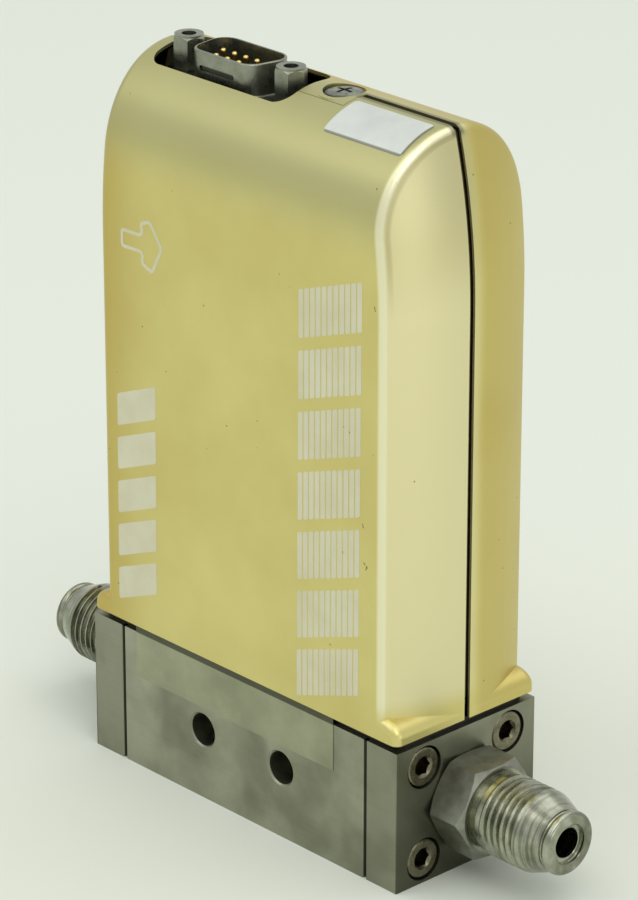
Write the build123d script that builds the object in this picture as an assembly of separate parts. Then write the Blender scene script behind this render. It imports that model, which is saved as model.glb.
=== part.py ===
from build123d import *
from math import cos, pi, radians, sin, sqrt, tan
import os

# Thermal mass flow controller: block-mounted base, bypass, sensor, valve, electronics and cover.
# Millimetres, +Z up. The origin is the centre of the base's underside. Gas flows towards +X, from
# the inlet fitting to the outlet fitting, and the front face looks towards -Y.

os.makedirs("parts", exist_ok=True)

# ---------------------------------------------------------------- driving sizes
# Base
face_to_face = 124.0  # between the sealing faces of the two fittings
base_length = 76.0
base_width = 31.9
base_height = 25.6
end_block_thickness = 7.6
joint_chamfer = 0.5  # where the end blocks meet the main block
port_height = 12.8  # gas axis above the underside

# End-block screws (M4 socket head)
end_screw_y = 9.7  # from the gas axis, each way
end_screw_z = 8.45  # from the gas axis, each way
end_screw_radius = 2.0
end_screw_grip = 6.0  # length in the main block
end_head_radius = 3.5
end_head_height = 4.0
end_head_depth = 0.15  # top of the head below the block's face
end_head_clearance = 0.3
end_socket_flats = 3.0

# Fittings
fitting_hex_flats = 15.9
fitting_hex_length = 7.5
fitting_thread_radius = 7.145
fitting_thread_start = 10.3  # from the end block's face
fitting_thread_length = 6.9
fitting_neck_radius = 6.045  # between the hexagon and the thread
fitting_nose_round = 3.0  # from the thread to the cone
fitting_nose_angle = 21.5  # of the cone
fitting_throat_radius = 5.1  # behind the bead
fitting_bead_radius = 5.55  # outside of the rounded sealing bead
fitting_bead_section = 0.8  # radius of the bead's own section
fitting_face_radius = 3.4  # inside of the sealing face
fitting_bore_radius = 2.6
fitting_bore_depth = 0.7  # ledge inside the face
fitting_spigot_radius = 5.0
fitting_spigot_length = 5.0
end_passage_radius = 2.0

# Side and bottom mounting holes
side_hole_spacing = 19.7
side_hole_radius = 2.95
side_hole_depth = 10.0
bottom_hole_spacing = 40.0
bottom_hole_radius = 1.65
bottom_hole_depth = 7.0

# Cover (two drawn aluminium halves)
cover_overhang = 0.15  # beyond the base, front and rear
cover_top = 128.4
cover_wall = 0.9
cover_seam = 1.15
cover_bulge = 4.0  # how far the end wall stands out at the seam
cover_lean_start = 98.0  # above this height the end walls lean inwards
cover_lean_radius = 116.0
cover_crease_radius = 1.8
foot_land = 1.2  # upright part of the foot's end
foot_rise = 2.5  # height of the rounding above it
foot_corner_radius = 1.4
gasket_thickness = 1.2
gasket_inset = 0.9
gasket_width = 3.2

# Cut-out, tongue and screw in the top of the cover
cutout_margin = 3.4  # from the corner of the end wall
cutout_length = 33.0
cutout_front = -8.3
cutout_rear = 5.0
cutout_front_radius = 2.8
cutout_rear_radius = 4.5
tongue_length = 10.55
tongue_front = -4.7
tongue_clearance = 0.12
cover_screw_place = 5.9  # from the cut-out
cover_screw_radius = 1.5
cover_screw_head_radius = 3.2
cover_screw_head_height = 0.7
cover_screw_length = 7.0
screw_seat_depth = 0.75
screw_seat_clearance = 0.35
screw_seat_lip = 0.45  # of the seat's wall below the crest
post_flats = 5.5

# Connector (9-pin D type)
connector_place = 15.7  # from the cut-out's left end
connector_y = -1.8
connector_flange_top = 124.3
connector_sheet = 0.5
connector_flange_margin = 2.905  # beyond the jack posts' axes
connector_flange_width = 12.5
jack_spacing = 24.99
jack_flats = 4.9
jack_height = 5.95
jack_bore_radius = 1.25
jack_shank_radius = 1.4
shell_inner_length = 16.92
shell_inner_width = 8.36
shell_height = 5.6
shell_inner_radius = 2.6
shell_slope = 10.0
shell_foot_radius = 0.4
shell_rim_radius = 0.2
dimple_length = 8.5
dimple_width = 0.9
dimple_depth = 0.4  # pressed inwards, so the wall stands out as much on its inside
dimple_place = (-0.45, 2.77)  # from the shell's middle, above the flange
pin_pitch = 2.77
pin_row_spacing = 2.84
pin_radius = 0.5
pin_height = 4.6  # above the flange
pin_tail = 9.0  # below the flange
insulator_depth = 5.0

# Stickers
sticker_thickness = 0.1
arch_sticker_gap = 0.85  # from the tongue
arch_sticker_margin = 2.4  # from the corner of the end wall
arch_sticker_near = 10.0  # from the crest plane, towards the front
arch_sticker_far = 2.4
arch_sticker_corner = 0.7
tape_left_margin = 3.6  # from the ends of the main block
tape_right_margin = 7.5
tape_bottom = 17.2

# Flow path inside the base
passage_radius = 1.5
bypass_radius = 5.5
bypass_bore_length = 17.0
bypass_clearance = 0.05
bypass_length = 11.0
bypass_slots = 18
bypass_slot_depth = 0.8
retainer_length = 3.0
retainer_flats = 6.0
filter_thickness = 1.5
seal_section = 1.5  # diameter of the ring seals' cord

# Small screws
small_screw_radius = 1.25
small_screw_grip = 5.0
small_head_radius = 2.0
small_head_height = 1.4
screw_clearance = 0.1

# Sensor
sensor_place = 10.9  # from the main block's inlet end
sensor_port_spacing = 9.0
sensor_base_length = 21.0
sensor_base_width = 16.0
sensor_base_height = 6.0
sensor_tube_radius = 0.4
sensor_tube_rise = 13.0
sensor_tube_bend = 2.0
sensor_winding_radius = 0.9
sensor_winding_length = 2.6
sensor_cover_height = 20.0
sensor_cover_wall = 0.8
sensor_cover_length = 12.0
sensor_cover_width = 14.0
sensor_screw_x = 8.2  # from the sensor's centre
sensor_screw_y = 5.5
port_seal_radius = 2.6

# Control valve
valve_place = 16.4  # from the main block's outlet end
valve_base_side = 18.5
valve_base_height = 8.0
valve_screw_pitch = 14.4
valve_head_radius = 1.9
seat_radius = 6.0
seat_height = 3.0
orifice_radius = 0.6
diaphragm_radius = 6.6
diaphragm_thickness = 0.2
spacer_height = 2.0
plunger_radius = 2.6
actuator_radius = 8.0
actuator_wall = 1.2
actuator_length = 44.0
stack_side = 5.0
stack_length = 36.0
lock_nut_flats = 13.0
lock_nut_height = 3.0
housing_socket = 3.0  # how deep the housing stands in the valve's base
pad_radius = 4.5
pad_thickness = 1.5
adjusting_screw_radius = 2.5

# Chassis and boards
sheet = 1.2
chassis_neck_gap = 0.55  # from the sensor's and the valve's bases
chassis_screw_margin = 3.4  # of the shelf beyond the cover screw
window_side = 8.0  # in the shoulder, from its sides
window_below = 7.0
window_above = 12.0
chassis_foot_reach = 4.2
chassis_screw_y = 2.7
shoulder_height = 84.0
chassis_margin = 2.6  # beyond the jack posts
board_thickness = 1.6
board_gap = 2.0
board_cover_gap = 1.0  # from the screws' heads to the cover
board_end_margin = 6.0  # from the corner of the end wall
board_bottom = 33.0
board_top = 112.0
board_corner = 6.0
board_hole_margin = 3.0
board_hole_heights = (91.0, 108.0)
board_head_radius = 2.2
board_head_height = 1.2
standoff_radius = 2.4
chip_thickness = 1.6
chips_left = [(9, 74, 10, 8), (9, 60, 8, 6), (11, 46, 12, 8)]  # from the end, height, size
chips_right = [(15, 74, 8, 6), (5, 62, 6, 5)]
trimmer_size = (6.4, 5.0, 9.0)
trimmer_screw_radius = 1.2
trimmer_margin = 3.0  # first column, from the board's end
trimmer_pitch = 8.0  # from column to column
trimmer_clearance = 0.8  # from the chassis
trimmer_places = [(1, 104), (0, 100), (1, 90)]  # column, counted from the board's end, and height
capacitor_radius = 2.5
capacitor_length = 6.5
capacitors_left = [(16, 66)]
capacitors_right = [(2, 78), (2, 50)]
connector_board_size = (28.0, 13.0)
connector_board_gap = 1.0  # from its top to the pins' ends

# ---------------------------------------------------------------- dependent sizes
main_length = base_length - 2 * end_block_thickness
cover_width = base_width + 2 * cover_overhang
cover_corner_x = base_length / 2 - cover_bulge  # where the end wall meets the long walls
arch_radius = cover_width / 2
arch_centre = cover_top - arch_radius
cover_bottom = base_height + gasket_thickness
cutout_left = cutout_margin - cover_corner_x
cutout_right = cutout_left + cutout_length
tongue_end = cutout_right + tongue_length
cover_screw_x = cutout_right + cover_screw_place
connector_x = cutout_left + connector_place
shell_length = shell_inner_length + 2 * connector_sheet
shell_width = shell_inner_width + 2 * connector_sheet
shell_radius = shell_inner_radius + connector_sheet
fitting_length = (face_to_face - base_length) / 2
flange_bottom = connector_flange_top - connector_sheet
chassis_top = flange_bottom
valve_base_top = base_height + valve_base_height
actuator_top = valve_base_top + actuator_length
sensor_x = sensor_place - main_length / 2
valve_x = main_length / 2 - valve_place
valve_floor = base_height - seat_height - diaphragm_thickness - spacer_height
sensor_base_top = base_height + sensor_base_height
neck_left = sensor_x + sensor_base_length / 2 + chassis_neck_gap
neck_right = valve_x - valve_base_side / 2 - chassis_neck_gap
neck_x = (neck_left + neck_right) / 2
board_stack = sheet + board_gap + board_thickness + board_head_height
chassis_y = cover_width / 2 - cover_wall - board_cover_gap - board_stack
board_front = chassis_y + sheet + board_gap
board_end = cover_corner_x - board_end_margin
connector_flange_length = jack_spacing + 2 * connector_flange_margin
chassis_right = cover_screw_x + chassis_screw_margin
trimmer_first = board_end - trimmer_margin
trimmer_room = trimmer_first - trimmer_size[0] / 2 - trimmer_clearance - chassis_right
trimmer_columns = 1 + int(trimmer_room / trimmer_pitch)  # as many as fit beside the chassis
seal_groove_depth = seal_section * 0.8
seal_cord_radius = seal_groove_depth / 2 - 0.03
small_hole_radius = small_screw_radius + screw_clearance
parts = {}


# ---------------------------------------------------------------- helpers
def block(x, y, z):
    """A box between the two limits given on each axis."""
    middle = [(low + high) / 2 for low, high in (x, y, z)]
    return Pos(*middle) * Box(x[1] - x[0], y[1] - y[0], z[1] - z[0])


def rod(radius, length):
    """A cylinder that stands on the origin along +Z."""
    return Cylinder(radius, length, align=(Align.CENTER, Align.CENTER, Align.MIN))


def hexagon(flats, length):
    """A hexagonal prism that stands on the origin, with two corners on the Y axis."""
    return extrude(RegularPolygon(flats / 2 / cos(pi / 6), 6, rotation=30), length)


def turned(points):
    """A solid turned about Z from a closed outline of (radius, height) points."""
    outline = Polyline(*[(radius, 0, height) for radius, height in points], close=True)
    return revolve(make_face(outline), Axis.Z)


def ring_seal(middle_radius, cord_radius):
    """A ring of round cord, resting on the XY plane."""
    return Pos(0, 0, cord_radius) * Torus(middle_radius, cord_radius)


def socket_screw(radius, length, head_radius, head_height, socket_flats):
    """A socket-head screw: the head's seat is on the XY plane and the shank points down."""
    head = rod(head_radius, head_height)
    head = chamfer(head.edges().sort_by(Axis.Z)[-1], head_height / 12)
    socket = Pos(0, 0, head_height * 0.45) * hexagon(socket_flats, head_height)
    return head - socket + Pos(0, 0, -length) * rod(radius, length)


def cross_screw(radius, length, head_radius, head_height):
    """A low domed screw with a cross recess: seat on the XY plane, shank down."""
    dome_start = head_height * 0.45
    dome_radius = (head_radius**2 + (head_height - dome_start) ** 2) / 2 / (head_height - dome_start)
    dome = Pos(0, 0, head_height - dome_radius) * Sphere(dome_radius)
    head = rod(head_radius, head_height) & dome
    slot = Box(head_radius, head_radius / 5, head_height)
    recess = Pos(0, 0, head_height) * (slot + Rot(0, 0, 90) * slot)
    return head - recess + Pos(0, 0, -length) * rod(radius, length)


def save(name, solid, colour="gray"):
    """Keep a node and write its STEP file."""
    solid.label = name
    solid.color = Color(colour)
    parts[name] = solid
    export_step(solid, f"parts/{name}.step")


def as_group(solids):
    """Separate solids that share one node."""
    return Compound(children=[solid.solid() if hasattr(solid, "solid") else solid for solid in solids])


TO_OUTLET = Rot(0, 90, 0)  # turns +Z to +X
TO_INLET = Rot(0, -90, 0)  # turns +Z to -X
TO_FRONT = Rot(90, 0, 0)  # turns +Z to -Y
TO_REAR = Rot(-90, 0, 0)  # turns +Z to +Y
ENDS = {"inlet": (-1, TO_INLET), "outlet": (1, TO_OUTLET)}

end_screw_places = [
    (y, port_height + z) for y in (-end_screw_y, end_screw_y) for z in (-end_screw_z, end_screw_z)
]
valve_screw_places = [
    (valve_x + x * valve_screw_pitch / 2, y * valve_screw_pitch / 2) for x in (-1, 1) for y in (-1, 1)
]
sensor_screw_places = [
    (sensor_x + x * sensor_screw_x, y * sensor_screw_y) for x in (-1, 1) for y in (-1, 1)
]
sensor_ports = [sensor_x - sensor_port_spacing / 2, sensor_x + sensor_port_spacing / 2]
chassis_screw_places = [(neck_x, -chassis_screw_y), (neck_x, chassis_screw_y)]
jack_places = (connector_x - jack_spacing / 2, connector_x + jack_spacing / 2)
board_holes = (board_hole_margin - board_end, cover_screw_x - 0.3)
board_screw_places = [(x, z) for x in board_holes for z in board_hole_heights]


# ---------------------------------------------------------------- base
def main_block():
    half = main_length / 2
    body = block((-half, half), (-base_width / 2, base_width / 2), (0, base_height))
    for side in (-half, half):
        body = chamfer(body.edges().filter_by_position(Axis.X, side, side), joint_chamfer)
    # Front mounting holes, with a small chamfer at the mouth
    for x in (-side_hole_spacing / 2, side_hole_spacing / 2):
        mouth = Pos(x, -base_width / 2, port_height)
        hole = turned([
            (0, 0), (side_hole_radius + 0.3, 0), (side_hole_radius, 0.3),
            (side_hole_radius, side_hole_depth), (0, side_hole_depth + side_hole_radius / 2),
        ])
        body -= mouth * TO_REAR * hole
    for x in (-bottom_hole_spacing / 2, bottom_hole_spacing / 2):
        body -= Pos(x, 0, 0) * rod(bottom_hole_radius, bottom_hole_depth)
    # Tapped holes for the end-block screws
    tapped = rod(end_screw_radius + screw_clearance, end_screw_grip + 1)
    for y, z in end_screw_places:
        body -= Pos(-half, y, z) * TO_OUTLET * tapped
        body -= Pos(half, y, z) * TO_INLET * tapped
    # Bypass bore from the inlet end, then the passages to the sensor, the valve and the outlet
    bypass_bore = rod(bypass_radius + bypass_clearance, bypass_bore_length)
    body -= Pos(-half, 0, port_height) * TO_OUTLET * bypass_bore
    start = -half + bypass_bore_length
    body -= Pos(start - 1, 0, port_height) * TO_OUTLET * rod(passage_radius, valve_x - start + 1)
    body -= Pos(valve_x, 0, port_height) * rod(passage_radius, valve_floor - port_height + 0.5)
    body -= Pos(half, 0, port_height) * TO_INLET * rod(passage_radius, half - valve_x - 4)
    body -= Pos(valve_x + 4, 0, port_height) * rod(passage_radius * 0.6, valve_floor - port_height + 0.5)
    for x in sensor_ports:
        body -= Pos(x, 0, port_height + bypass_radius - 1) * rod(passage_radius * 0.5, base_height)
        body -= Pos(x, 0, base_height - seal_groove_depth) * rod(port_seal_radius, seal_groove_depth + 1)
    body -= Pos(valve_x, 0, valve_floor) * rod(diaphragm_radius + 0.1, base_height)
    for x, y in sensor_screw_places + valve_screw_places + chassis_screw_places:
        body -= Pos(x, y, base_height - small_screw_grip - 0.5) * rod(small_hole_radius, base_height)
    return body


def end_block(side, turn):
    """Built with its inner face on the XY plane and its outer face at +Z, then turned into place."""
    top = end_block_thickness
    body = extrude(Rectangle(base_height, base_width), top)
    body = chamfer(body.faces().sort_by(Axis.Z)[0].edges(), joint_chamfer)
    socket_radius = fitting_spigot_radius + screw_clearance
    body -= rod(end_passage_radius, top)
    body -= Pos(0, 0, top - fitting_spigot_length - 0.2) * rod(socket_radius, top)
    body -= Pos(0, 0, top - seal_groove_depth) * rod(socket_radius + seal_section, top)
    body -= rod(bypass_radius + bypass_clearance, seal_groove_depth)
    head_seat = top - end_head_depth - end_head_height
    for y in (-end_screw_y, end_screw_y):
        for z in (-end_screw_z, end_screw_z):
            body -= Pos(z, y, 0) * rod(end_screw_radius + screw_clearance, top)
            body -= Pos(z, y, head_seat) * rod(end_head_radius + end_head_clearance, top)
    return Pos(side * main_length / 2, 0, port_height) * turn * body


def fitting(side, turn):
    """A face-seal gland fitting, built along +Z from the end block's face."""
    corner = fitting_hex_flats / 2 / cos(pi / 6)
    trim = (corner - fitting_hex_flats / 2 + 0.2) * tan(pi / 6)
    low = fitting_hex_flats / 2 - 0.2
    envelope = turned(
        [(0, 0), (low, 0), (corner, trim), (corner, fitting_hex_length - trim), (low, fitting_hex_length),
         (0, fitting_hex_length)]
    )
    body = hexagon(fitting_hex_flats, fitting_hex_length) & envelope
    spigot = fitting_spigot_radius
    foot = -fitting_spigot_length
    neck = fitting_neck_radius
    root = fitting_thread_radius - 0.35
    thread = fitting_thread_radius
    nose = fitting_thread_start + fitting_thread_length
    tip = fitting_length
    curve = fitting_nose_round
    half, full = radians(fitting_nose_angle / 2), radians(fitting_nose_angle)
    curve_middle = (thread - curve + curve * cos(half), nose + curve * sin(half))
    curve_end = (thread - curve + curve * cos(full), nose + curve * sin(full))
    throat = fitting_throat_radius
    cone_end = (throat + 0.35, curve_end[1] + (curve_end[0] - throat - 0.35) / tan(full))
    bead = fitting_bead_section
    bead_r, bead_h = fitting_bead_radius - bead, tip - bead
    bead_start = (bead_r + bead * cos(pi / 3), bead_h - bead * sin(pi / 3))
    face = fitting_face_radius
    ledge = tip - fitting_bore_depth
    lower = Polyline(
        (0, foot), (spigot - 0.4, foot), (spigot, foot + 0.4), (spigot, 0), (neck, 0.5),
        (neck, fitting_hex_length + 1.1), (root, fitting_hex_length + 1.5),
        (root, fitting_thread_start - 0.4), (thread, fitting_thread_start), (thread, nose),
    )
    outline = [
        lower,
        ThreePointArc((thread, nose), curve_middle, curve_end),
        Polyline(curve_end, cone_end, (throat, cone_end[1] + 0.2), bead_start),
        ThreePointArc(bead_start, (fitting_bead_radius, bead_h), (bead_r, tip)),
        Polyline((bead_r, tip), (face + 0.1, tip), (face, tip - 0.1), (face, ledge), (0, ledge), (0, foot)),
    ]
    barrel = revolve(Plane.XZ * make_face(outline), Axis.Z)
    body = body + barrel - Pos(0, 0, foot) * rod(fitting_bore_radius, fitting_length * 2)
    return Pos(side * base_length / 2, 0, port_height) * turn * body


def end_screws(side, turn):
    seat = base_length / 2 - end_head_depth - end_head_height
    shank = seat - main_length / 2 + end_screw_grip
    screw = socket_screw(end_screw_radius, shank, end_head_radius, end_head_height, end_socket_flats)
    return as_group([Pos(side * seat, y, z) * turn * screw for y, z in end_screw_places])


save("main_block", main_block(), "lightsteelblue")
for end, (side, turn) in ENDS.items():
    save(f"{end}_end_block", end_block(side, turn), "slategray")
    save(f"{end}_fitting", fitting(side, turn), "silver")
    save(f"{end}_block_screws", end_screws(side, turn), "dimgray")
    inner = ring_seal(bypass_radius - seal_section / 2 - 0.1, seal_cord_radius)
    save(f"{end}_block_seal", Pos(side * main_length / 2, 0, port_height) * turn * inner, "black")
    shoulder = ring_seal(fitting_spigot_radius + screw_clearance + seal_section / 2, seal_cord_radius)
    shoulder_place = Pos(side * (base_length / 2 - seal_groove_depth), 0, port_height)
    save(f"{end}_fitting_seal", shoulder_place * turn * shoulder, "black")


# ---------------------------------------------------------------- flow path
def bypass_element():
    body = rod(bypass_radius, bypass_length)
    slot = Pos(bypass_radius, 0, bypass_length / 2) * Box(2 * bypass_slot_depth, 0.5, bypass_length)
    body -= [Rot(0, 0, 360 * turn / bypass_slots) * slot for turn in range(bypass_slots)]
    return Pos(-main_length / 2 + filter_thickness + retainer_length, 0, port_height) * TO_OUTLET * body


def bypass_retainer():
    body = rod(bypass_radius, retainer_length) - hexagon(retainer_flats, retainer_length)
    return Pos(-main_length / 2 + filter_thickness, 0, port_height) * TO_OUTLET * body


save("bypass_element", bypass_element(), "goldenrod")
save("bypass_retainer", bypass_retainer(), "peru")
inlet_filter = Pos(-main_length / 2, 0, port_height) * TO_OUTLET * rod(bypass_radius, filter_thickness)
save("inlet_filter", inlet_filter, "tan")


# ---------------------------------------------------------------- sensor
def sensor_base():
    plate = extrude(Rectangle(sensor_base_length, sensor_base_width), sensor_base_height)
    body = Pos(sensor_x, 0, base_height) * chamfer(plate.edges().filter_by(Axis.Z), 1.0)
    for x in sensor_ports:
        body -= Pos(x, 0, base_height) * rod(sensor_tube_radius + 0.05, sensor_base_height)
    for x, y in sensor_screw_places:
        body -= Pos(x, y, base_height) * rod(small_hole_radius, sensor_base_height)
    return body


def sensor_tube():
    left, right = sensor_ports
    bottom = base_height + 0.5
    top = sensor_base_top + sensor_tube_rise
    corners = [(left, 0, bottom), (left, 0, top), (right, 0, top), (right, 0, bottom)]
    route = FilletPolyline(*corners, radius=sensor_tube_bend)
    section = Pos(left, 0, bottom) * (Circle(sensor_tube_radius) - Circle(sensor_tube_radius / 2))
    return sweep(section, path=route)


def sensor_windings():
    top = sensor_base_top + sensor_tube_rise
    coils = []
    for offset in (-sensor_winding_length / 2 - 0.3, sensor_winding_length / 2 + 0.3):
        coil = rod(sensor_winding_radius, sensor_winding_length)
        coil -= rod(sensor_tube_radius + 0.05, sensor_winding_length)
        coils.append(Pos(sensor_x + offset - sensor_winding_length / 2, 0, top) * TO_OUTLET * coil)
    return as_group(coils)


def sensor_cover():
    wall = sensor_cover_wall
    outer = extrude(RectangleRounded(sensor_cover_length, sensor_cover_width, 1.5), sensor_cover_height)
    inner = Rectangle(sensor_cover_length - 2 * wall, sensor_cover_width - 2 * wall)
    return Pos(sensor_x, 0, sensor_base_top) * (outer - extrude(inner, sensor_cover_height - wall))


def small_screws(places, seat, held, head_radius=small_head_radius):
    """Screws that hold a part of the given height to the main block."""
    screw = cross_screw(small_screw_radius, held + small_screw_grip, head_radius, small_head_height)
    return as_group([Pos(x, y, seat) * screw for x, y in places])


save("sensor_base", sensor_base(), "lightslategray")
save("sensor_tube", sensor_tube(), "silver")
save("sensor_windings", sensor_windings(), "orangered")
save("sensor_cover", sensor_cover(), "lightgray")
save("sensor_screws", small_screws(sensor_screw_places, sensor_base_top, sensor_base_height), "dimgray")
port_seal = ring_seal(port_seal_radius - seal_section / 2, seal_cord_radius)
seal_floor = base_height - seal_groove_depth
save("sensor_port_seals", as_group([Pos(x, 0, seal_floor) * port_seal for x in sensor_ports]), "black")


# ---------------------------------------------------------------- control valve
def valve_seat():
    body = rod(seat_radius, seat_height) - rod(orifice_radius, seat_height)
    body -= Pos(0, 0, -0.1) * rod(passage_radius, seat_height * 0.6)
    for turn in range(6):
        body -= Rot(0, 0, 60 * turn) * Pos(seat_radius - 1.6, 0, 0) * rod(0.7, seat_height)
    trough = rod(seat_radius - 0.6, seat_height) - rod(orifice_radius + 0.8, seat_height)
    return body - Pos(0, 0, seat_height - 0.6) * trough


def valve_base():
    body = extrude(Rectangle(valve_base_side, valve_base_side), valve_base_height)
    body = chamfer(body.edges().filter_by(Axis.Z), 2.0)
    body -= rod(plunger_radius + 0.1, valve_base_height)
    body -= Pos(0, 0, housing_bottom) * rod(actuator_radius, housing_socket)
    for x, y in valve_screw_places:
        body -= Pos(x - valve_x, y, 0) * rod(small_hole_radius, valve_base_height)
    return body


def actuator_housing():
    length = actuator_length + housing_socket
    body = rod(actuator_radius - 0.05, length) - rod(plunger_radius + 0.1, actuator_wall)
    body -= Pos(0, 0, actuator_wall) * rod(actuator_radius - actuator_wall, length - 4)
    body -= Pos(0, 0, actuator_length) * rod(adjusting_screw_radius + screw_clearance, housing_socket)
    return Pos(0, 0, housing_bottom) * body


def lock_nut():
    hole = rod(adjusting_screw_radius + screw_clearance, lock_nut_height)
    return hexagon(lock_nut_flats, lock_nut_height) - hole


def adjusting_screw(length):
    slot = Pos(0, 0, length) * Box(3 * adjusting_screw_radius, 0.9, 2.4)
    return rod(adjusting_screw_radius, length) - slot


housing_bottom = valve_base_height - housing_socket  # above the main block
plunger_top = base_height + housing_bottom + actuator_wall + 1.0
stack_bottom = plunger_top + pad_thickness
stack_top = stack_bottom + stack_length
screw_bottom = stack_top + pad_thickness
screw_top = actuator_top + lock_nut_height + 2
at_valve = Pos(valve_x, 0, 0)
save("valve_seat", at_valve * Pos(0, 0, valve_floor) * valve_seat(), "khaki")
spacer = rod(diaphragm_radius, spacer_height - 0.02) - rod(seat_radius - 0.8, spacer_height)
save("valve_spacer_ring", at_valve * Pos(0, 0, valve_floor + seat_height) * spacer, "darkgray")
diaphragm = rod(diaphragm_radius, diaphragm_thickness)
save("valve_diaphragm", at_valve * Pos(0, 0, base_height - diaphragm_thickness) * diaphragm, "gold")
save("valve_base", at_valve * Pos(0, 0, base_height) * valve_base(), "lightslategray")
plunger = rod(plunger_radius, plunger_top - base_height)
save("valve_plunger", at_valve * Pos(0, 0, base_height) * plunger, "silver")
valve_screws = small_screws(valve_screw_places, valve_base_top, valve_base_height, valve_head_radius)
save("valve_screws", valve_screws, "dimgray")
save("actuator_housing", at_valve * Pos(0, 0, base_height) * actuator_housing(), "gray")
pad = at_valve * rod(pad_radius, pad_thickness)
save("stack_pads", as_group([Pos(0, 0, plunger_top) * pad, Pos(0, 0, stack_top) * pad]), "silver")
stack = extrude(Rectangle(stack_side, stack_side), stack_length)
save("actuator_stack", at_valve * Pos(0, 0, stack_bottom) * stack, "sienna")
screw = adjusting_screw(screw_top - screw_bottom)
save("adjusting_screw", at_valve * Pos(0, 0, screw_bottom) * screw, "silver")
save("lock_nut", at_valve * Pos(0, 0, actuator_top) * lock_nut(), "silver")


# ---------------------------------------------------------------- chassis
def chassis():
    """One folded sheet: foot, upright neck, wide shoulder and a top shelf for the connector."""
    back = chassis_y + sheet
    left = connector_x - jack_spacing / 2 - chassis_margin
    shelf_front = connector_y - connector_flange_width / 2
    under_shelf = chassis_top - sheet
    foot_top = base_height + sheet
    foot = block((neck_left, neck_right), (-chassis_foot_reach, back), (base_height, foot_top))
    upright = block((neck_left, neck_right), (chassis_y, back), (base_height, shoulder_height + 1))
    shoulder = block((left, chassis_right), (chassis_y, back), (shoulder_height, chassis_top))
    window = block(
        (left + window_side, chassis_right - window_side), (chassis_y, back),
        (shoulder_height + window_below, chassis_top - window_above),
    )
    shelf = block((left, chassis_right), (shelf_front, back), (under_shelf, chassis_top))
    body = foot + upright + (shoulder - window) + shelf
    body -= Pos(connector_x, connector_y, under_shelf) * extrude(d_outline(0.4), sheet)
    for x in jack_places:
        body -= Pos(x, connector_y, under_shelf) * rod(jack_shank_radius + screw_clearance, sheet)
    body -= Pos(cover_screw_x, 0, under_shelf) * rod(cover_screw_radius + screw_clearance, sheet)
    for x, y in chassis_screw_places:
        body -= Pos(x, y, base_height) * rod(small_hole_radius, sheet)
    for x, z in board_screw_places:
        body -= Pos(x, chassis_y, z) * TO_REAR * rod(small_hole_radius, sheet)
    return body


def d_outline(grow):
    """The D outline of the connector's shell, its wide side to the rear, grown or shrunk all round."""
    half = shell_length / 2 + grow
    depth = shell_width / 2 + grow
    narrow = half - 2 * depth * tan(radians(shell_slope))
    corners = Polygon((-narrow, -depth), (narrow, -depth), (half, depth), (-half, depth), align=None)
    return fillet(corners.vertices(), shell_radius + grow)


def connector_shell():
    flange = RectangleRounded(connector_flange_length, connector_flange_width, 1.5)
    top = connector_sheet + shell_height
    body = extrude(flange, connector_sheet) + extrude(d_outline(0), top)
    at_flange = body.edges().filter_by_position(Axis.Z, connector_sheet, connector_sheet)
    half_length, half_width = shell_length / 2 + 0.1, shell_width / 2 + 0.1
    wall_foot = [
        edge for edge in at_flange
        if abs(edge.center().X) < half_length and abs(edge.center().Y) < half_width
    ]
    body = fillet(wall_foot, shell_foot_radius)
    body = fillet(body.edges().filter_by_position(Axis.Z, top, top), shell_rim_radius)
    body -= extrude(d_outline(-connector_sheet), top)
    for x in jack_places:
        body -= Pos(x - connector_x, 0, 0) * rod(jack_shank_radius + screw_clearance, connector_sheet)
    x, z = dimple_place
    at_dimple = Pos(x, dimple_depth - shell_width / 2, connector_sheet + z)
    pressed = SlotOverall(dimple_length + 0.6, dimple_width + 0.6)
    body += at_dimple * TO_REAR * extrude(pressed, connector_sheet)
    body -= at_dimple * TO_FRONT * extrude(SlotOverall(dimple_length, dimple_width), 1.0)
    return Pos(connector_x, connector_y, flange_bottom) * body


def pin_places():
    """Nine pins: five in the rear row and four in the front row, between them."""
    rear = [((index - 2) * pin_pitch, pin_row_spacing / 2) for index in range(5)]
    front = [((index - 1.5) * pin_pitch, -pin_row_spacing / 2) for index in range(4)]
    return rear + front


def connector_insulator():
    body = Pos(0, 0, -1) * extrude(d_outline(-connector_sheet - 0.05), 1 + connector_sheet + 0.3)
    body += Pos(0, 0, -insulator_depth) * extrude(d_outline(0.2), insulator_depth - 0.02)
    for x, y in pin_places():
        body -= Pos(x, y, -insulator_depth) * rod(pin_radius, insulator_depth + 2)
    return Pos(connector_x, connector_y, flange_bottom) * body


def connector_pins():
    pin = rod(pin_radius, pin_tail + pin_height)
    pin = fillet(pin.edges().sort_by(Axis.Z)[-1], pin_radius * 0.9)
    bottom = connector_flange_top - pin_tail
    return as_group([Pos(connector_x + x, connector_y + y, bottom) * pin for x, y in pin_places()])


def jack_posts():
    corner = jack_flats / 2 / cos(pi / 6)
    envelope = turned(
        [(0, 0), (corner, 0), (corner, jack_height - 0.7), (jack_flats / 2, jack_height - 0.3),
         (jack_flats / 2, jack_height), (0, jack_height)]
    )
    post = hexagon(jack_flats, jack_height) & envelope
    post -= Pos(0, 0, jack_height - 4.5) * rod(jack_bore_radius, 5)
    post += Pos(0, 0, -4) * rod(jack_shank_radius, 4)
    left, right = [Pos(x, connector_y, connector_flange_top) for x in jack_places]
    return as_group([left * Rot(0, 0, -17) * post, right * Rot(0, 0, -23) * post])


def cover_screw_post(height):
    return hexagon(post_flats, height) - rod(cover_screw_radius + screw_clearance, height)


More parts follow.
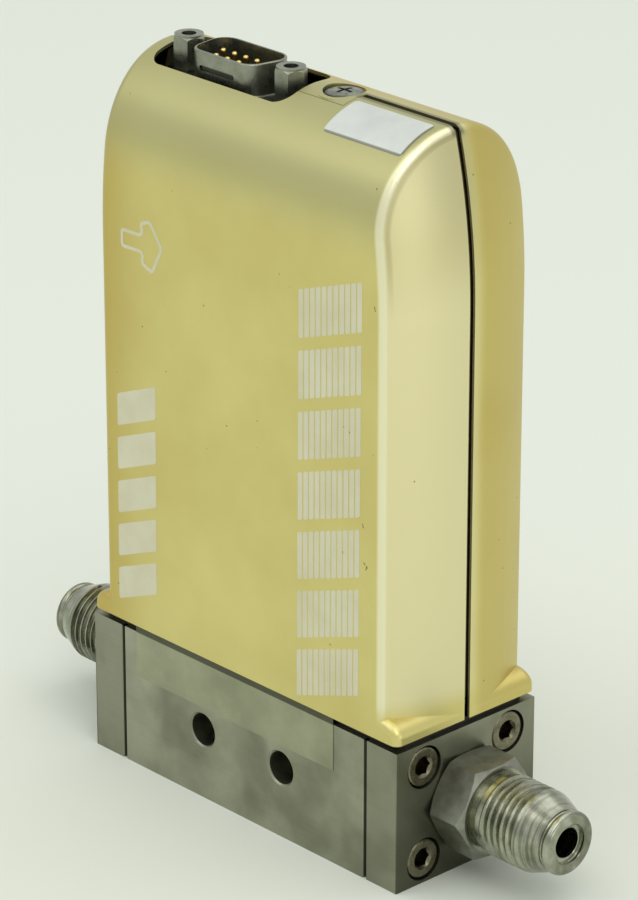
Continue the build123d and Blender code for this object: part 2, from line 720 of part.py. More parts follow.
seat_floor = cover_top - screw_seat_depth
seat_underside = seat_floor - cover_wall
save("chassis", chassis(), "darkkhaki")
save("chassis_screws", small_screws(chassis_screw_places, base_height + sheet, sheet), "dimgray")
post = cover_screw_post(seat_underside - chassis_top)
save("cover_screw_post", Pos(cover_screw_x, 0, chassis_top) * post, "silver")
save("connector_shell", connector_shell(), "lightgray")
save("connector_insulator", connector_insulator(), "black")
save("connector_pins", connector_pins(), "gold")
save("jack_posts", jack_posts(), "gray")


# ---------------------------------------------------------------- boards
def main_board():
    rear = board_front + board_thickness
    body = block((-board_end, board_end), (board_front, rear), (board_bottom, board_top))
    body = chamfer(body.edges().filter_by(Axis.Y).sort_by(Axis.Z)[-2:], board_corner)
    for x, z in board_screw_places:
        body -= Pos(x, board_front, z) * TO_REAR * rod(small_hole_radius, board_thickness)
    return body


def board_standoffs():
    tube = TO_REAR * (rod(standoff_radius, board_gap) - rod(small_hole_radius, board_gap))
    return as_group([Pos(x, chassis_y + sheet, z) * tube for x, z in board_screw_places])


def board_screws():
    rear = board_front + board_thickness
    screw = cross_screw(small_screw_radius, rear - chassis_y, board_head_radius, board_head_height)
    return as_group([Pos(x, rear, z) * TO_REAR * screw for x, z in board_screw_places])


def chips():
    """Flat packages on the front of the main board, clear of the chassis' neck."""
    bodies = []
    for side, group in ((-1, chips_left), (1, chips_right)):
        for margin, z, width, height in group:
            body = TO_FRONT * extrude(Rectangle(width, height), chip_thickness)
            bodies.append(Pos(side * (board_end - margin), board_front, z) * body)
    return as_group(bodies)


def trimmers():
    width, depth, height = trimmer_size
    body = TO_FRONT * extrude(Rectangle(width, height), depth)
    body += Pos(0, -depth / 2, height / 2) * rod(trimmer_screw_radius, 1.2)
    return as_group([
        Pos(trimmer_first - column * trimmer_pitch, board_front, z) * body
        for column, z in trimmer_places if column < trimmer_columns
    ])


def capacitors():
    can = TO_FRONT * rod(capacitor_radius, capacitor_length)
    places = [(margin - board_end, z) for margin, z in capacitors_left]
    places += [(board_end - margin, z) for margin, z in capacitors_right]
    return as_group([Pos(x, board_front, z) * can for x, z in places])


def connector_board():
    body = extrude(Rectangle(*connector_board_size), board_thickness)
    for x, y in pin_places():
        body -= Pos(x, y, 0) * rod(pin_radius + 0.05, board_thickness)
    bottom = connector_flange_top - pin_tail + connector_board_gap - board_thickness
    return Pos(connector_x, connector_y, bottom) * body


save("main_board", main_board(), "darkgreen")
save("board_standoffs", board_standoffs(), "silver")
save("board_screws", board_screws(), "dimgray")
save("board_chips", chips(), "black")
save("board_trimmers", trimmers(), "royalblue")
save("board_capacitors", capacitors(), "navy")
save("connector_board", connector_board(), "green")


# ---------------------------------------------------------------- cover
def end_cutter(inset):
    """Everything beyond the outlet end wall: upright at first, then leaning inwards."""
    half_width = cover_width / 2 - inset
    middle = cover_corner_x + cover_bulge - inset
    radius = (half_width**2 + cover_bulge**2) / 2 / cover_bulge
    wide = half_width + 3  # the arc is carried on past the long walls
    tip = middle - radius + sqrt(radius**2 - wide**2)
    far = middle + 30
    bulge = ThreePointArc((tip, -wide), (middle, 0), (tip, wide))
    face = make_face([bulge, Polyline((tip, wide), (far, wide), (far, -wide), (tip, -wide))])
    low = cover_bottom - 2
    lower = Pos(0, 0, low) * extrude(face, cover_lean_start - low)
    hinge = Axis((cover_corner_x + cover_bulge - cover_lean_radius, 0, cover_lean_start), (0, -1, 0))
    upper = revolve(Pos(0, 0, cover_lean_start) * face, hinge, revolution_arc=20)
    return lower + upper


def cover_foot(inset):
    """The foot of the cover: its ends are straight and round off above as quarters of an ellipse."""
    half_width = cover_width / 2 - inset
    across = cover_bulge - inset
    rise = foot_rise - inset
    end = cover_corner_x + across
    land = cover_bottom + foot_land
    bottom = cover_bottom - inset
    profile = [
        EllipticalCenterArc((cover_corner_x, land), across, rise, start_angle=0, arc_size=90),
        Line((cover_corner_x, land + rise), (-cover_corner_x, land + rise)),
        EllipticalCenterArc((-cover_corner_x, land), across, rise, start_angle=90, arc_size=90),
        Polyline((-end, land), (-end, bottom), (end, bottom), (end, land)),
    ]
    body = extrude(Plane.XZ * make_face(profile), half_width, both=True)
    corners = [
        edge for edge in body.edges()
        if abs(edge.center().X) > cover_corner_x and abs(edge.center().Y) > half_width - 0.1
    ]
    return fillet(corners, foot_corner_radius - inset)


def cover_body(inset):
    """The cover as a closed body, shrunk all round by inset."""
    radius = arch_radius - inset
    length = cover_corner_x + cover_bulge + 2
    body = block((-length, length), (-radius, radius), (cover_bottom - inset, arch_centre))
    body += Pos(-length, 0, arch_centre) * TO_OUTLET * rod(radius, 2 * length)
    outlet_cutter = end_cutter(inset)
    body -= outlet_cutter
    body -= mirror(outlet_cutter, Plane.YZ)
    creases = [
        edge for edge in body.edges()
        if abs(edge.center().X) > cover_corner_x - 8 and edge.center().Z > cover_bottom + 5
    ]
    return fillet(creases, cover_crease_radius - inset) + cover_foot(inset)


def cutout():
    outline = Polygon(
        (cutout_left, cutout_front), (cutout_right, cutout_front), (cutout_right, cutout_rear),
        (cutout_left, cutout_rear), align=None,
    )
    outline = fillet(outline.vertices().sort_by(Axis.Y)[:2], cutout_front_radius)
    outline = fillet(outline.vertices().sort_by(Axis.Y)[-2:], cutout_rear_radius)
    return Pos(0, 0, arch_centre) * extrude(outline, arch_radius + 2)


def covers():
    shell = cover_body(0) - cover_body(cover_wall) - cutout()
    reach = base_length
    gap = cover_seam / 2
    front = shell & block((-reach, reach), (-cover_width, -gap), (0, cover_top + 1))
    rear = shell & block((-reach, reach), (gap, cover_width), (0, cover_top + 1))
    start = cutout_right - 3
    high = (arch_centre, cover_top + 1)
    front -= block((start, tongue_end), (tongue_front, 1), high)
    tab = block((start, tongue_end - tongue_clearance), (tongue_front + tongue_clearance, 1), high)
    seat_radius = cover_screw_head_radius + screw_seat_clearance
    at_screw = Pos(cover_screw_x, 0, 0)
    cup = rod(seat_radius + cover_wall, cover_top - seat_underside - screw_seat_lip)
    rear = rear + (shell & tab)
    rear += at_screw * Pos(0, 0, seat_underside) * cup - Pos(0, 0, -cover_wall) * cutout()
    rear -= at_screw * Pos(0, 0, seat_floor) * rod(seat_radius, 3)
    rear -= at_screw * Pos(0, 0, seat_underside - 1) * rod(cover_screw_radius + screw_clearance, 4)
    return front, rear


front_cover, rear_cover = covers()
save("front_cover", front_cover, "gold")
save("rear_cover", rear_cover, "darkgoldenrod")
cover_screw = cross_screw(
    cover_screw_radius, cover_screw_length, cover_screw_head_radius, cover_screw_head_height
)
save("cover_screw", Pos(cover_screw_x, 0, seat_floor) * cover_screw, "silver")


# ---------------------------------------------------------------- gasket and stickers
def cover_gasket():
    length = base_length - 2 * gasket_inset
    width = base_width - 2 * gasket_inset
    ring = RectangleRounded(length, width, 3)
    ring -= RectangleRounded(length - 2 * gasket_width, width - 2 * gasket_width, 1.5)
    return Pos(0, 0, base_height) * extrude(ring, gasket_thickness)


def arch_sticker():
    """A thin rectangular sticker wrapped round the arch of the cover."""
    start = tongue_end + arch_sticker_gap
    end = cover_corner_x - arch_sticker_margin
    skin = rod(arch_radius + sticker_thickness, end - start) - rod(arch_radius, end - start)
    skin = Pos(start, 0, arch_centre) * TO_OUTLET * skin
    outline = RectangleRounded(end - start, arch_sticker_near - arch_sticker_far, arch_sticker_corner)
    middle = Pos((start + end) / 2, -(arch_sticker_near + arch_sticker_far) / 2, arch_centre)
    return skin & middle * extrude(outline, arch_radius * 2)


def block_tape():
    front = -base_width / 2
    left = tape_left_margin - main_length / 2
    right = main_length / 2 - tape_right_margin
    return block((left, right), (front - sticker_thickness, front), (tape_bottom, cover_bottom - 0.05))


save("cover_gasket", cover_gasket(), "black")
save("arch_sticker", arch_sticker(), "white")
save("block_tape", block_tape(), "olive")
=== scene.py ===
import math

import bpy
from bpy.props import FloatProperty, FloatVectorProperty, IntProperty, PointerProperty
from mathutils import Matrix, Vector


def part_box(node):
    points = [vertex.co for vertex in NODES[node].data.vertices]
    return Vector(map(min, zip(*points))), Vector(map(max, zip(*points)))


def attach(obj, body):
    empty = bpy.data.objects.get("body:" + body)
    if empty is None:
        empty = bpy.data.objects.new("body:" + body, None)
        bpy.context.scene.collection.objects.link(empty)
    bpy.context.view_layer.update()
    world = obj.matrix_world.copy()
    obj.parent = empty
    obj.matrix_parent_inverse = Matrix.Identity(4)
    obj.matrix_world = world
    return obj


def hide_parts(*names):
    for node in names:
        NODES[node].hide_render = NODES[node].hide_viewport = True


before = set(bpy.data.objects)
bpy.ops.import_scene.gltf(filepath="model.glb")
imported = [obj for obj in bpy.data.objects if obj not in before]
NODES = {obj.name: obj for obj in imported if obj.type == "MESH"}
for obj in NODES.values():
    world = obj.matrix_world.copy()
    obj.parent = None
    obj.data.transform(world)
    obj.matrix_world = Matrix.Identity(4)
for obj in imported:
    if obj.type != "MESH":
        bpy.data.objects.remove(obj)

BODY = "root"
MM = 0.001
FULL_TURN = 2 * math.pi
ENDS = {"inlet": -1, "outlet": 1}
SMOOTH_ANGLE = math.radians(30)  # edges sharper than this stay sharp
COLOUR_A, COLOUR_B, COLOUR_RESULT = 6, 7, 2  # sockets of a mix node that are for colours

bl_info = {
    "name": "Mass Flow Controller",
    "version": (1, 0, 0),
    "blender": (4, 5, 0),
    "location": "3D View > Sidebar > Flow Controller",
    "description": "Finishes and detailed pieces for a thermal mass flow controller",
    "category": "Add Mesh",
}


# ---------------------------------------------------------------- colour and material helpers
def linear(code):
    """An sRGB hex value as linear red, green and blue."""
    shades = [int(code[start:start + 2], 16) / 255 for start in (0, 2, 4)]
    return tuple(s / 12.92 if s <= 0.04045 else ((s + 0.055) / 1.055) ** 2.4 for s in shades)


def opaque(colour):
    """A colour with an alpha of 1, as node sockets want it."""
    return (*tuple(colour)[:3], 1.0)


def per(size):
    """A texture scale whose features are about this many millimetres wide."""
    return 1 / (size * MM)


def add_node(tree, kind, inputs=(), **settings):
    """Add a node with its settings and its inputs, each a value or a socket to link, and give its outputs."""
    made = tree.nodes.new(kind)
    for name, value in settings.items():
        setattr(made, name, value)
    for key, value in inputs.items() if isinstance(inputs, dict) else enumerate(inputs):
        socket = made.inputs[key]
        if isinstance(value, bpy.types.NodeSocket):
            tree.links.new(value, socket)
        else:
            socket.default_value = opaque(value) if socket.type == "RGBA" else value
    return made.outputs


def mask(tree, *ramps, top=1.0):
    """A mask that reaches this top where every ramp is past its end, and is 0 short of any start.

    A ramp is a socket with the value it starts from and the value it ends at, and rises smoothly
    from one to the other.
    """
    product = top
    for value, start, end in ramps:
        rise = add_node(
            tree, "ShaderNodeMapRange", {"Value": value, "From Min": start, "From Max": end},
            interpolation_type="SMOOTHSTEP",
        )[0]
        product = add_node(tree, "ShaderNodeMath", (product, rise), operation="MULTIPLY")[0]
    return product


def painted(tree, tint, *layers):
    """A tint with colours painted over it, each given with its mask, the last one on top."""
    for layer, colour in layers:
        inputs = {"Factor": layer, COLOUR_A: tint, COLOUR_B: colour}
        tint = add_node(tree, "ShaderNodeMix", inputs, data_type="RGBA")[COLOUR_RESULT]
    return tint


def repaint(tree, shader, *layers):
    """Paint these layers over a shader's base colour."""
    base = shader.inputs["Base Color"]
    tree.links.new(painted(tree, base.links[0].from_socket, *layers), base)


def surface(
    name, colour, shade, patch, grain, roughness, spread=0.08, metallic=0.0, relief=0.004, stretch=(1, 1, 1)
):
    """A material with drifting colour, uneven gloss and a fine grain.

    colour and shade are the lighter and darker tones, which change over patches of this many
    millimetres. The grain's size and the relief's depth are in millimetres too, and stretch draws
    the grain out into lines along one axis. The material comes with its tree, its shader and the
    sockets of the place on the piece and of the patches' mask.
    """
    material = bpy.data.materials.new(name)
    material.use_nodes = True
    tree = material.node_tree
    shader = tree.nodes["Principled BSDF"]
    place = add_node(tree, "ShaderNodeTexCoord")["Object"]
    drift = add_node(
        tree, "ShaderNodeTexNoise", {"Vector": place, "Scale": per(patch), "Detail": 4.0, "Roughness": 0.55}
    )[0]
    patches = add_node(tree, "ShaderNodeMapRange", {"Value": drift, "From Min": 0.3, "From Max": 0.7})[0]
    drawn = add_node(tree, "ShaderNodeMapping", {"Vector": place, "Scale": stretch})[0]
    grains = add_node(tree, "ShaderNodeTexNoise", {"Vector": drawn, "Scale": per(grain), "Detail": 3.0})[0]
    gloss = add_node(tree, "ShaderNodeMapRange", {
        "Value": grains, "From Min": 0.3, "From Max": 0.7,
        "To Min": roughness - spread, "To Max": roughness + spread,
    })[0]
    normal = add_node(tree, "ShaderNodeBump", {"Height": grains, "Strength": 1.0, "Distance": relief * MM})[0]
    tree.links.new(painted(tree, colour, (patches, shade)), shader.inputs["Base Color"])
    tree.links.new(gloss, shader.inputs["Roughness"])
    tree.links.new(normal, shader.inputs["Normal"])
    shader.inputs["Metallic"].default_value = metallic
    return material, tree, shader, place, patches


def dress(material, *names):
    """Put a material on the named CAD nodes, in place of what they have."""
    for name in names:
        slots = NODES[name].data.materials
        slots.clear()
        slots.append(material)


# ---------------------------------------------------------------- modelling helpers
def only(*pieces):
    """Select these pieces and nothing else, with the first one active."""
    if bpy.context.object and bpy.context.object.mode == "EDIT":
        bpy.ops.object.mode_set(mode="OBJECT")
    bpy.ops.object.select_all(action="DESELECT")
    for piece in pieces:
        piece.select_set(True)
    bpy.context.view_layer.objects.active = pieces[0]


def new_point(name, start):
    """A new mesh of one vertex at a point given in millimetres, left in edit mode."""
    bpy.ops.object.select_all(action="DESELECT")
    bpy.ops.mesh.primitive_plane_add(size=MM)
    piece = bpy.context.object
    piece.name = piece.data.name = name
    bpy.ops.object.mode_set(mode="EDIT")
    bpy.ops.mesh.merge(type="CENTER")
    bpy.ops.transform.translate(value=Vector(start) * MM)
    return piece


def drawn_line(name, points):
    """A line through points in millimetres, extruded from one to the next and left in edit mode."""
    piece = new_point(name, points[0])
    for here, there in zip(points, points[1:]):
        stride = (Vector(there) - Vector(here)) * MM
        bpy.ops.mesh.extrude_region_move(TRANSFORM_OT_translate={"value": stride})
    bpy.ops.mesh.select_all(action="SELECT")
    bpy.ops.mesh.remove_doubles(threshold=MM / 10000)
    return piece


def tidy(piece):
    """Merge doubles, turn the faces outwards and smooth all but the sharp edges."""
    only(piece)
    bpy.ops.object.mode_set(mode="EDIT")
    bpy.ops.mesh.select_all(action="SELECT")
    bpy.ops.mesh.remove_doubles(threshold=MM / 1000)
    bpy.ops.mesh.normals_make_consistent(inside=False)
    bpy.ops.object.mode_set(mode="OBJECT")
    bpy.ops.object.shade_smooth_by_angle(angle=SMOOTH_ANGLE)
    return piece


def turned(name, outline, steps=96):
    """A solid turned about the Z axis from a closed outline of (radius, height) points."""
    ring = [(radius, 0, height) for radius, height in outline]
    piece = drawn_line(name, ring + ring[:1])
    bpy.ops.mesh.select_all(action="SELECT")
    bpy.ops.mesh.spin(steps=steps, angle=FULL_TURN, center=(0, 0, 0), axis=(0, 0, 1))
    return tidy(piece)


def arc(centre, radius, start, end, steps):
    """Points on an arc of the (radius, height) plane, between two angles in degrees."""
    angles = [math.radians(start + (end - start) * step / steps) for step in range(steps + 1)]
    return [(centre[0] + radius * math.cos(a), centre[1] + radius * math.sin(a)) for a in angles]


def hexagon(name, flats, low, high):
    """A hexagonal bar along Z between two heights, measured across its flats."""
    bpy.ops.object.select_all(action="DESELECT")
    bpy.ops.mesh.primitive_cylinder_add(
        vertices=6, radius=flats / 2 / math.cos(math.pi / 6) * MM, depth=(high - low) * MM,
        location=(0, 0, (low + high) / 2 * MM),
    )
    piece = bpy.context.object
    piece.name = piece.data.name = name
    bpy.ops.object.transform_apply(location=True, rotation=True, scale=True)
    return piece


def combine(piece, tool, operation="DIFFERENCE"):
    """Apply a boolean between two pieces and delete the tool."""
    only(piece)
    modifier = piece.modifiers.new("combine", "BOOLEAN")
    modifier.operation = operation
    modifier.solver = "EXACT"
    modifier.object = tool
    bpy.ops.object.modifier_apply(modifier=modifier.name)
    bpy.data.objects.remove(tool)
    return piece


def thread_cutter(name, crest, root, pitch, start, turns, steps=64):
    """A helical V-shaped cutter about Z for an outside thread."""
    half_root = pitch * 0.07
    half_mouth = pitch * 0.48
    outline = [(root, -half_root), (crest, -half_mouth), (crest, half_mouth), (root, half_root)]
    piece = drawn_line(name, [(radius, 0, height + start) for radius, height in outline + outline[:1]])
    only(piece)
    modifier = piece.modifiers.new("helix", "SCREW")
    modifier.axis = "Z"
    modifier.steps = modifier.render_steps = steps
    modifier.screw_offset = pitch * MM
    modifier.iterations = turns
    bpy.ops.object.modifier_apply(modifier=modifier.name)
    bpy.ops.object.mode_set(mode="EDIT")
    bpy.ops.mesh.select_all(action="DESELECT")
    bpy.ops.mesh.select_mode(type="EDGE")
    bpy.ops.mesh.select_non_manifold()
    bpy.ops.mesh.fill_holes(sides=0)
    bpy.ops.mesh.select_mode(type="VERT")
    return tidy(piece)


def copied(piece, name):
    """A copy of a piece with its own mesh."""
    only(piece)
    bpy.ops.object.duplicate()
    twin = bpy.context.object
    twin.name = twin.data.name = name
    return twin


def placed(piece, location, rotation):
    """Move a piece to a place in metres and apply that, so its object stays at the origin."""
    only(piece)
    piece.location = location
    piece.rotation_euler = rotation
    bpy.ops.object.transform_apply(location=True, rotation=True, scale=True)
    return piece


def joined(name, pieces):
    """Several pieces as one object."""
    only(*pieces)
    bpy.ops.object.join()
    whole = bpy.context.object
    whole.name = whole.data.name = name
    return whole


def finish_piece(piece, material, slot, *replaced):
    """Give a piece its material and its body, and hide the CAD nodes it stands for; its slot is not used."""
    piece.data.materials.clear()
    piece.data.materials.append(material)
    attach(piece, BODY)
    if replaced:
        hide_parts(*replaced)


def centre_of(name):
    """The middle of a CAD node's box, in metres."""
    low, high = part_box(name)
    return (low + high) / 2


def facing(side):
    """The rotation that turns +Z towards the inlet (-1) or the outlet (1)."""
    return (0, side * math.pi / 2, 0)


# ---------------------------------------------------------------- sizes and colours
def length_property(name, description, size):
    return FloatProperty(name=name, description=description, default=size, min=0, unit="NONE")


def colour_property(name, description, code):
    return FloatVectorProperty(
        name=name, description=description, subtype="COLOR", size=3, min=0, max=1, default=linear(code)
    )


class FlowViewSettings(bpy.types.PropertyGroup):
    """Camera, floor and light."""

    azimuth: FloatProperty(
        name="Azimuth", description="Camera's turn about the vertical", subtype="ANGLE", default=math.radians(47.03)
    )
    elevation: FloatProperty(
        name="Elevation", description="Camera's height angle", subtype="ANGLE", default=math.radians(21.74)
    )
    distance: FloatProperty(
        name="Distance", description="Camera to its target", subtype="DISTANCE", unit="LENGTH", default=0.7021
    )
    target: FloatVectorProperty(
        name="Target", description="Point the camera looks at", subtype="TRANSLATION", default=(0.002286, 0, 0.07432)
    )
    lens: FloatProperty(name="Lens", description="Focal length in millimetres", default=169.0, min=20)
    shift: FloatProperty(name="Shift", description="Upward shift of the frame", default=-0.0646)
    floor_colour: colour_property("Floor", "Colour of the pale floor", "DEE2D9")
    sky_colour: colour_property("Surroundings", "Colour of the light from all round", "EDF0EB")
    sky_strength: FloatProperty(name="Strength", description="Of the light from all round", default=0.82, min=0)


class FlowFittingSettings(bpy.types.PropertyGroup):
    """Sizes of the face-seal fittings and their screws, in millimetres."""

    hex_flats: length_property("Hex", "Across the hexagon's flats", 15.9)
    hex_length: length_property("Hex length", "From the end block to the far side of the hexagon", 7.5)
    thread_radius: length_property("Thread radius", "Outside radius of the thread", 7.145)
    thread_depth: length_property("Thread depth", "From crest to root", 0.8)
    thread_pitch: length_property("Thread pitch", "18 turns to the inch", 1.411)
    thread_turns: IntProperty(name="Thread turns", description="Whole turns of the thread", default=5, min=1)
    land_start: length_property("Land start", "From the end block to the plain land before the thread", 8.9)
    thread_start: length_property("Thread start", "From the end block to the first groove", 10.3)
    nose_start: length_property("Nose start", "From the end block to the tapered nose", 17.2)
    nose_round: length_property("Nose rounding", "Radius between the thread and the taper", 3.0)
    nose_angle: length_property("Nose angle", "Slope of the taper in degrees", 21.5)
    throat_radius: length_property("Throat radius", "Radius of the crease behind the bead", 5.1)
    bead_radius: length_property("Bead radius", "Outside radius of the sealing bead", 5.55)
    bead_section: length_property("Bead section", "Radius of the bead's own section", 0.8)
    face_radius: length_property("Face radius", "Inside radius of the sealing face", 3.4)
    ledge_depth: length_property("Ledge depth", "From the sealing face to the ledge inside it", 0.7)
    bore_radius: length_property("Bore radius", "Radius of the gas passage", 2.6)
    spigot_radius: length_property("Spigot radius", "Radius of the spigot in the end block", 5.0)
    spigot_length: length_property("Spigot length", "Length of the spigot in the end block", 5.0)
    screw_head_radius: length_property("Screw head radius", "Head of an end block screw", 3.5)
    screw_head_height: length_property("Screw head height", "Head of an end block screw", 4.0)
    screw_flats: length_property("Screw socket", "Across the flats of the screws' hexagon socket", 3.0)


class FlowFinishSettings(bpy.types.PropertyGroup):
    """Colours of the finishes, and of the shade, highlights and reflections painted on them."""

    gold: colour_property("Gold", "Anodised aluminium of the cover", "DDD289")
    gold_shade: colour_property("Gold shade", "Deeper tone of the anodised aluminium", "D0C176")
    gold_painted_shade: colour_property("Shaded gold", "Painted shade on the inlet end and the rear half", "BFA64C")
    gold_arch_reflection: colour_property("Arch reflection gold", "Painted reflection on the arch, greyer", "B9B786")
    gold_end_highlight: colour_property("End highlight gold", "Painted highlight on the outlet end, paler", "E6DDB2")
    steel: colour_property("Steel", "Ground stainless steel of the blocks", "A9A997")
    steel_shade: colour_property("Steel shade", "Smudged tone of the blocks", "8E8F7D")
    end_steel: colour_property("End steel", "Milled stainless steel of the end blocks", "979786")
    steel_smudge: colour_property("Steel smudge", "Greasy smudges on the blocks", "727462")
    bright_steel: colour_property("Bright steel", "Turned stainless steel of the fittings", "B8B9A8")
    screw: colour_property("Screws", "Stainless steel of the end block screws", "87826D")
    rubber: colour_property("Rubber", "Gasket", "16130D")
    label: colour_property("Label", "Silver film label on the arch", "D5D9D4")
    ink: colour_property("Ink", "Pale screen print on the cover", "D8D4BC")
    tape: colour_property("Tape", "Clear film on the block", "A9AB91")


# ---------------------------------------------------------------- cover
# Form of the cover, in millimetres, which its finish and its seam lips follow
ARCH_AXIS = 112.3  # height of the axis of the rounded top
END_WALL = 38.0  # furthest x of the end walls
END_BULGE = 32.4  # radius of the end walls seen from above
LEAN_START = 98.0  # height from which the end walls lean inwards
LEAN_RADIUS = 116.0  # radius of the lean seen from the front

# Ends of the scuffs on the cover's front face, as x and z in millimetres
SCUFFS = (
    ((32.3, 101.8), (32.5, 101.1)), ((24.3, 79.6), (25.7, 79.3)), ((25.7, 79.3), (27.5, 78.5)),
    ((28.6, 65.3), (28.9, 64.8)), ((29.8, 63.9), (30.0, 63.3)), ((30.1, 57.2), (31.0, 56.6)),
    ((30.9, 56.9), (30.6, 56.1)), ((25.2, 57.6), (25.3, 57.1)),
)
SCUFF_WIDTH = 0.09  # from a scuff's middle to its edge

# Screen print, in millimetres
INK_THICKNESS = 0.035
INK_SINK = 0.01  # how far inside the cover's face the ink starts

# Lips behind the seam, in millimetres
SEAM_WALL = 37.92  # x of the end walls' outside beside the seam
LIP_DEPTH = 1.15  # below the cover's outside
LIP_WIDTH = 2.6
LIP_THICKNESS = 0.2
LIP_LOW = 30.5  # height of its lower end


def scuffed(tree, place, ends):
    """A mask along the line between two points of the front face, frayed by a fine noise."""
    start, finish = (Vector((x, 0, z)) * MM for x, z in ends)
    line = finish - start
    flat = add_node(tree, "ShaderNodeVectorMath", (place, (1, 0, 1)), operation="MULTIPLY")[0]
    offset = add_node(tree, "ShaderNodeVectorMath", (flat, start), operation="SUBTRACT")[0]
    share = add_node(
        tree, "ShaderNodeVectorMath", (offset, line / line.length_squared), operation="DOT_PRODUCT"
    )["Value"]
    share = add_node(tree, "ShaderNodeClamp", (share,))[0]
    foot = add_node(tree, "ShaderNodeVectorMath", {0: line, "Scale": share}, operation="SCALE")[0]
    away = add_node(tree, "ShaderNodeVectorMath", (offset, foot), operation="DISTANCE")["Value"]
    fray = add_node(tree, "ShaderNodeTexNoise", {"Vector": place, "Scale": per(0.35), "Detail": 2.0})[0]
    edge = add_node(
        tree, "ShaderNodeMath", (fray, SCUFF_WIDTH * 4 * MM, -SCUFF_WIDTH * MM), operation="MULTIPLY_ADD"
    )[0]
    return add_node(tree, "ShaderNodeMath", (away, edge), operation="LESS_THAN")[0]


def cover_measures(tree, place):
    """Sockets that say where a point of the cover lies.

    They are its x, y and z, its y and x without their sign, its reach from the axis of the rounded
    top, and the x of the outer end wall there, which is an arc seen from above and leans inwards
    at the top.
    """
    along, across, height = add_node(tree, "ShaderNodeSeparateXYZ", (place,))
    aside = add_node(tree, "ShaderNodeMath", (across,), operation="ABSOLUTE")[0]
    outwards = add_node(tree, "ShaderNodeMath", (along,), operation="ABSOLUTE")[0]
    squares = []
    for value, start in ((aside, 0.0), (height, ARCH_AXIS * MM), (height, LEAN_START * MM)):
        over = add_node(tree, "ShaderNodeMath", (value, start), operation="SUBTRACT")[0]
        over = add_node(tree, "ShaderNodeMath", (over, 0.0), operation="MAXIMUM")[0]
        squares.append(add_node(tree, "ShaderNodeMath", (over, 2.0), operation="POWER")[0])
    reach = add_node(tree, "ShaderNodeMath", squares[:2], operation="ADD")[0]
    reach = add_node(tree, "ShaderNodeMath", (reach,), operation="SQRT")[0]
    wall = END_WALL * MM
    for square, radius in ((squares[0], END_BULGE), (squares[2], LEAN_RADIUS)):
        wall = add_node(tree, "ShaderNodeMath", (square, -1 / (2 * radius * MM), wall), operation="MULTIPLY_ADD")[0]
    return along, across, height, aside, outwards, reach, wall


def gold_anodised(settings):
    """Satin anodised aluminium: a dyed oxide over bead-blasted metal, so a soft metallic gloss."""
    material, tree, shader, place, _ = surface(
        "satin gold anodised aluminium", settings.gold, settings.gold_shade,
        patch=30, grain=0.22, roughness=0.4, spread=0.04, metallic=0.9, relief=0.0015,
    )
    along, across, height, aside, outwards, reach, wall = cover_measures(tree, place)
    depth = add_node(tree, "ShaderNodeMath", (wall, along), operation="SUBTRACT")[0]
    front = (across, 3 * MM, -1 * MM)
    above_foot = (height, 29 * MM, 34 * MM)
    end = (depth, 0.9 * MM, 0.3 * MM)
    near_top = (height, 98 * MM, 112 * MM)
    # The outlet end's painted highlight, duller on its leaned top
    end_highlight_tint = painted(tree, settings.gold_end_highlight, (mask(tree, near_top), linear("D2C99C")))

    # Dark pits, a tenth of a millimetre across and thin on the ground, and the worst scuffs
    cells = add_node(tree, "ShaderNodeTexVoronoi", {"Vector": place, "Scale": per(5.0)})["Distance"]
    worn = mask(tree, (cells, 0.04, 0.024), top=0.75)
    scuff_strength = mask(tree, front, top=0.85)
    for ends in SCUFFS:
        scuff = add_node(
            tree, "ShaderNodeMath", (scuffed(tree, place, ends), scuff_strength), operation="MULTIPLY"
        )[0]
        worn = add_node(tree, "ShaderNodeMath", (worn, scuff), operation="MAXIMUM")[0]

    # The inside is what lies deeper than the outer skin, away from both end walls
    deep = add_node(tree, "ShaderNodeMath", (wall, outwards), operation="SUBTRACT")[0]
    off_ends = add_node(tree, "ShaderNodeMath", (deep, 0.45 * MM), operation="GREATER_THAN")[0]
    off_skin = add_node(tree, "ShaderNodeMath", (reach, 15.55 * MM), operation="LESS_THAN")[0]
    inside = add_node(tree, "ShaderNodeMath", (off_skin, off_ends), operation="MULTIPLY")[0]

    repaint(
        tree, shader,
        # Painted shade: the gold is deeper towards the inlet end and on the rear half
        (mask(tree, (along, -22 * MM, -36 * MM), top=0.75), settings.gold_painted_shade),
        (mask(tree, (across, 1 * MM, 4 * MM), top=0.48), settings.gold_painted_shade),
        # A painted reflection makes the arch greyer, and a painted highlight makes the outlet end, above the foot,
        # paler
        (mask(tree, (height, 107 * MM, 120 * MM), front, top=0.8), settings.gold_arch_reflection),
        (mask(tree, end, above_foot, front, top=0.85), end_highlight_tint),
        # Painted highlight along the crease beside it, with a painted dark reflection along its far side near the
        # top
        (mask(tree, (reach, 15.0 * MM, 15.5 * MM), (depth, 1.1 * MM, 0.5 * MM), above_foot, front, top=0.75),
         linear("F4F0CF")),
        (mask(tree, (reach, 14.0 * MM, 14.6 * MM), (reach, 15.2 * MM, 14.9 * MM), near_top, end, above_foot, front,
              top=0.323), linear("7B7044")),
        # Painted shade along the seam on top, beyond the cover screw
        (mask(tree, (aside, 1.7 * MM, 0.9 * MM), (height, 126.5 * MM, 127.5 * MM), (along, 11.5 * MM, 12.5 * MM),
              top=0.7), linear("66654A")),
        (worn, linear("57502D")),
        # The inside is painted near black, as dark as it looks through the cut-out and the seam
        (inside, linear("15140F")),
    )
    shader.inputs["Coat Weight"].default_value = 0.3
    shader.inputs["Coat Roughness"].default_value = 0.25
    return material


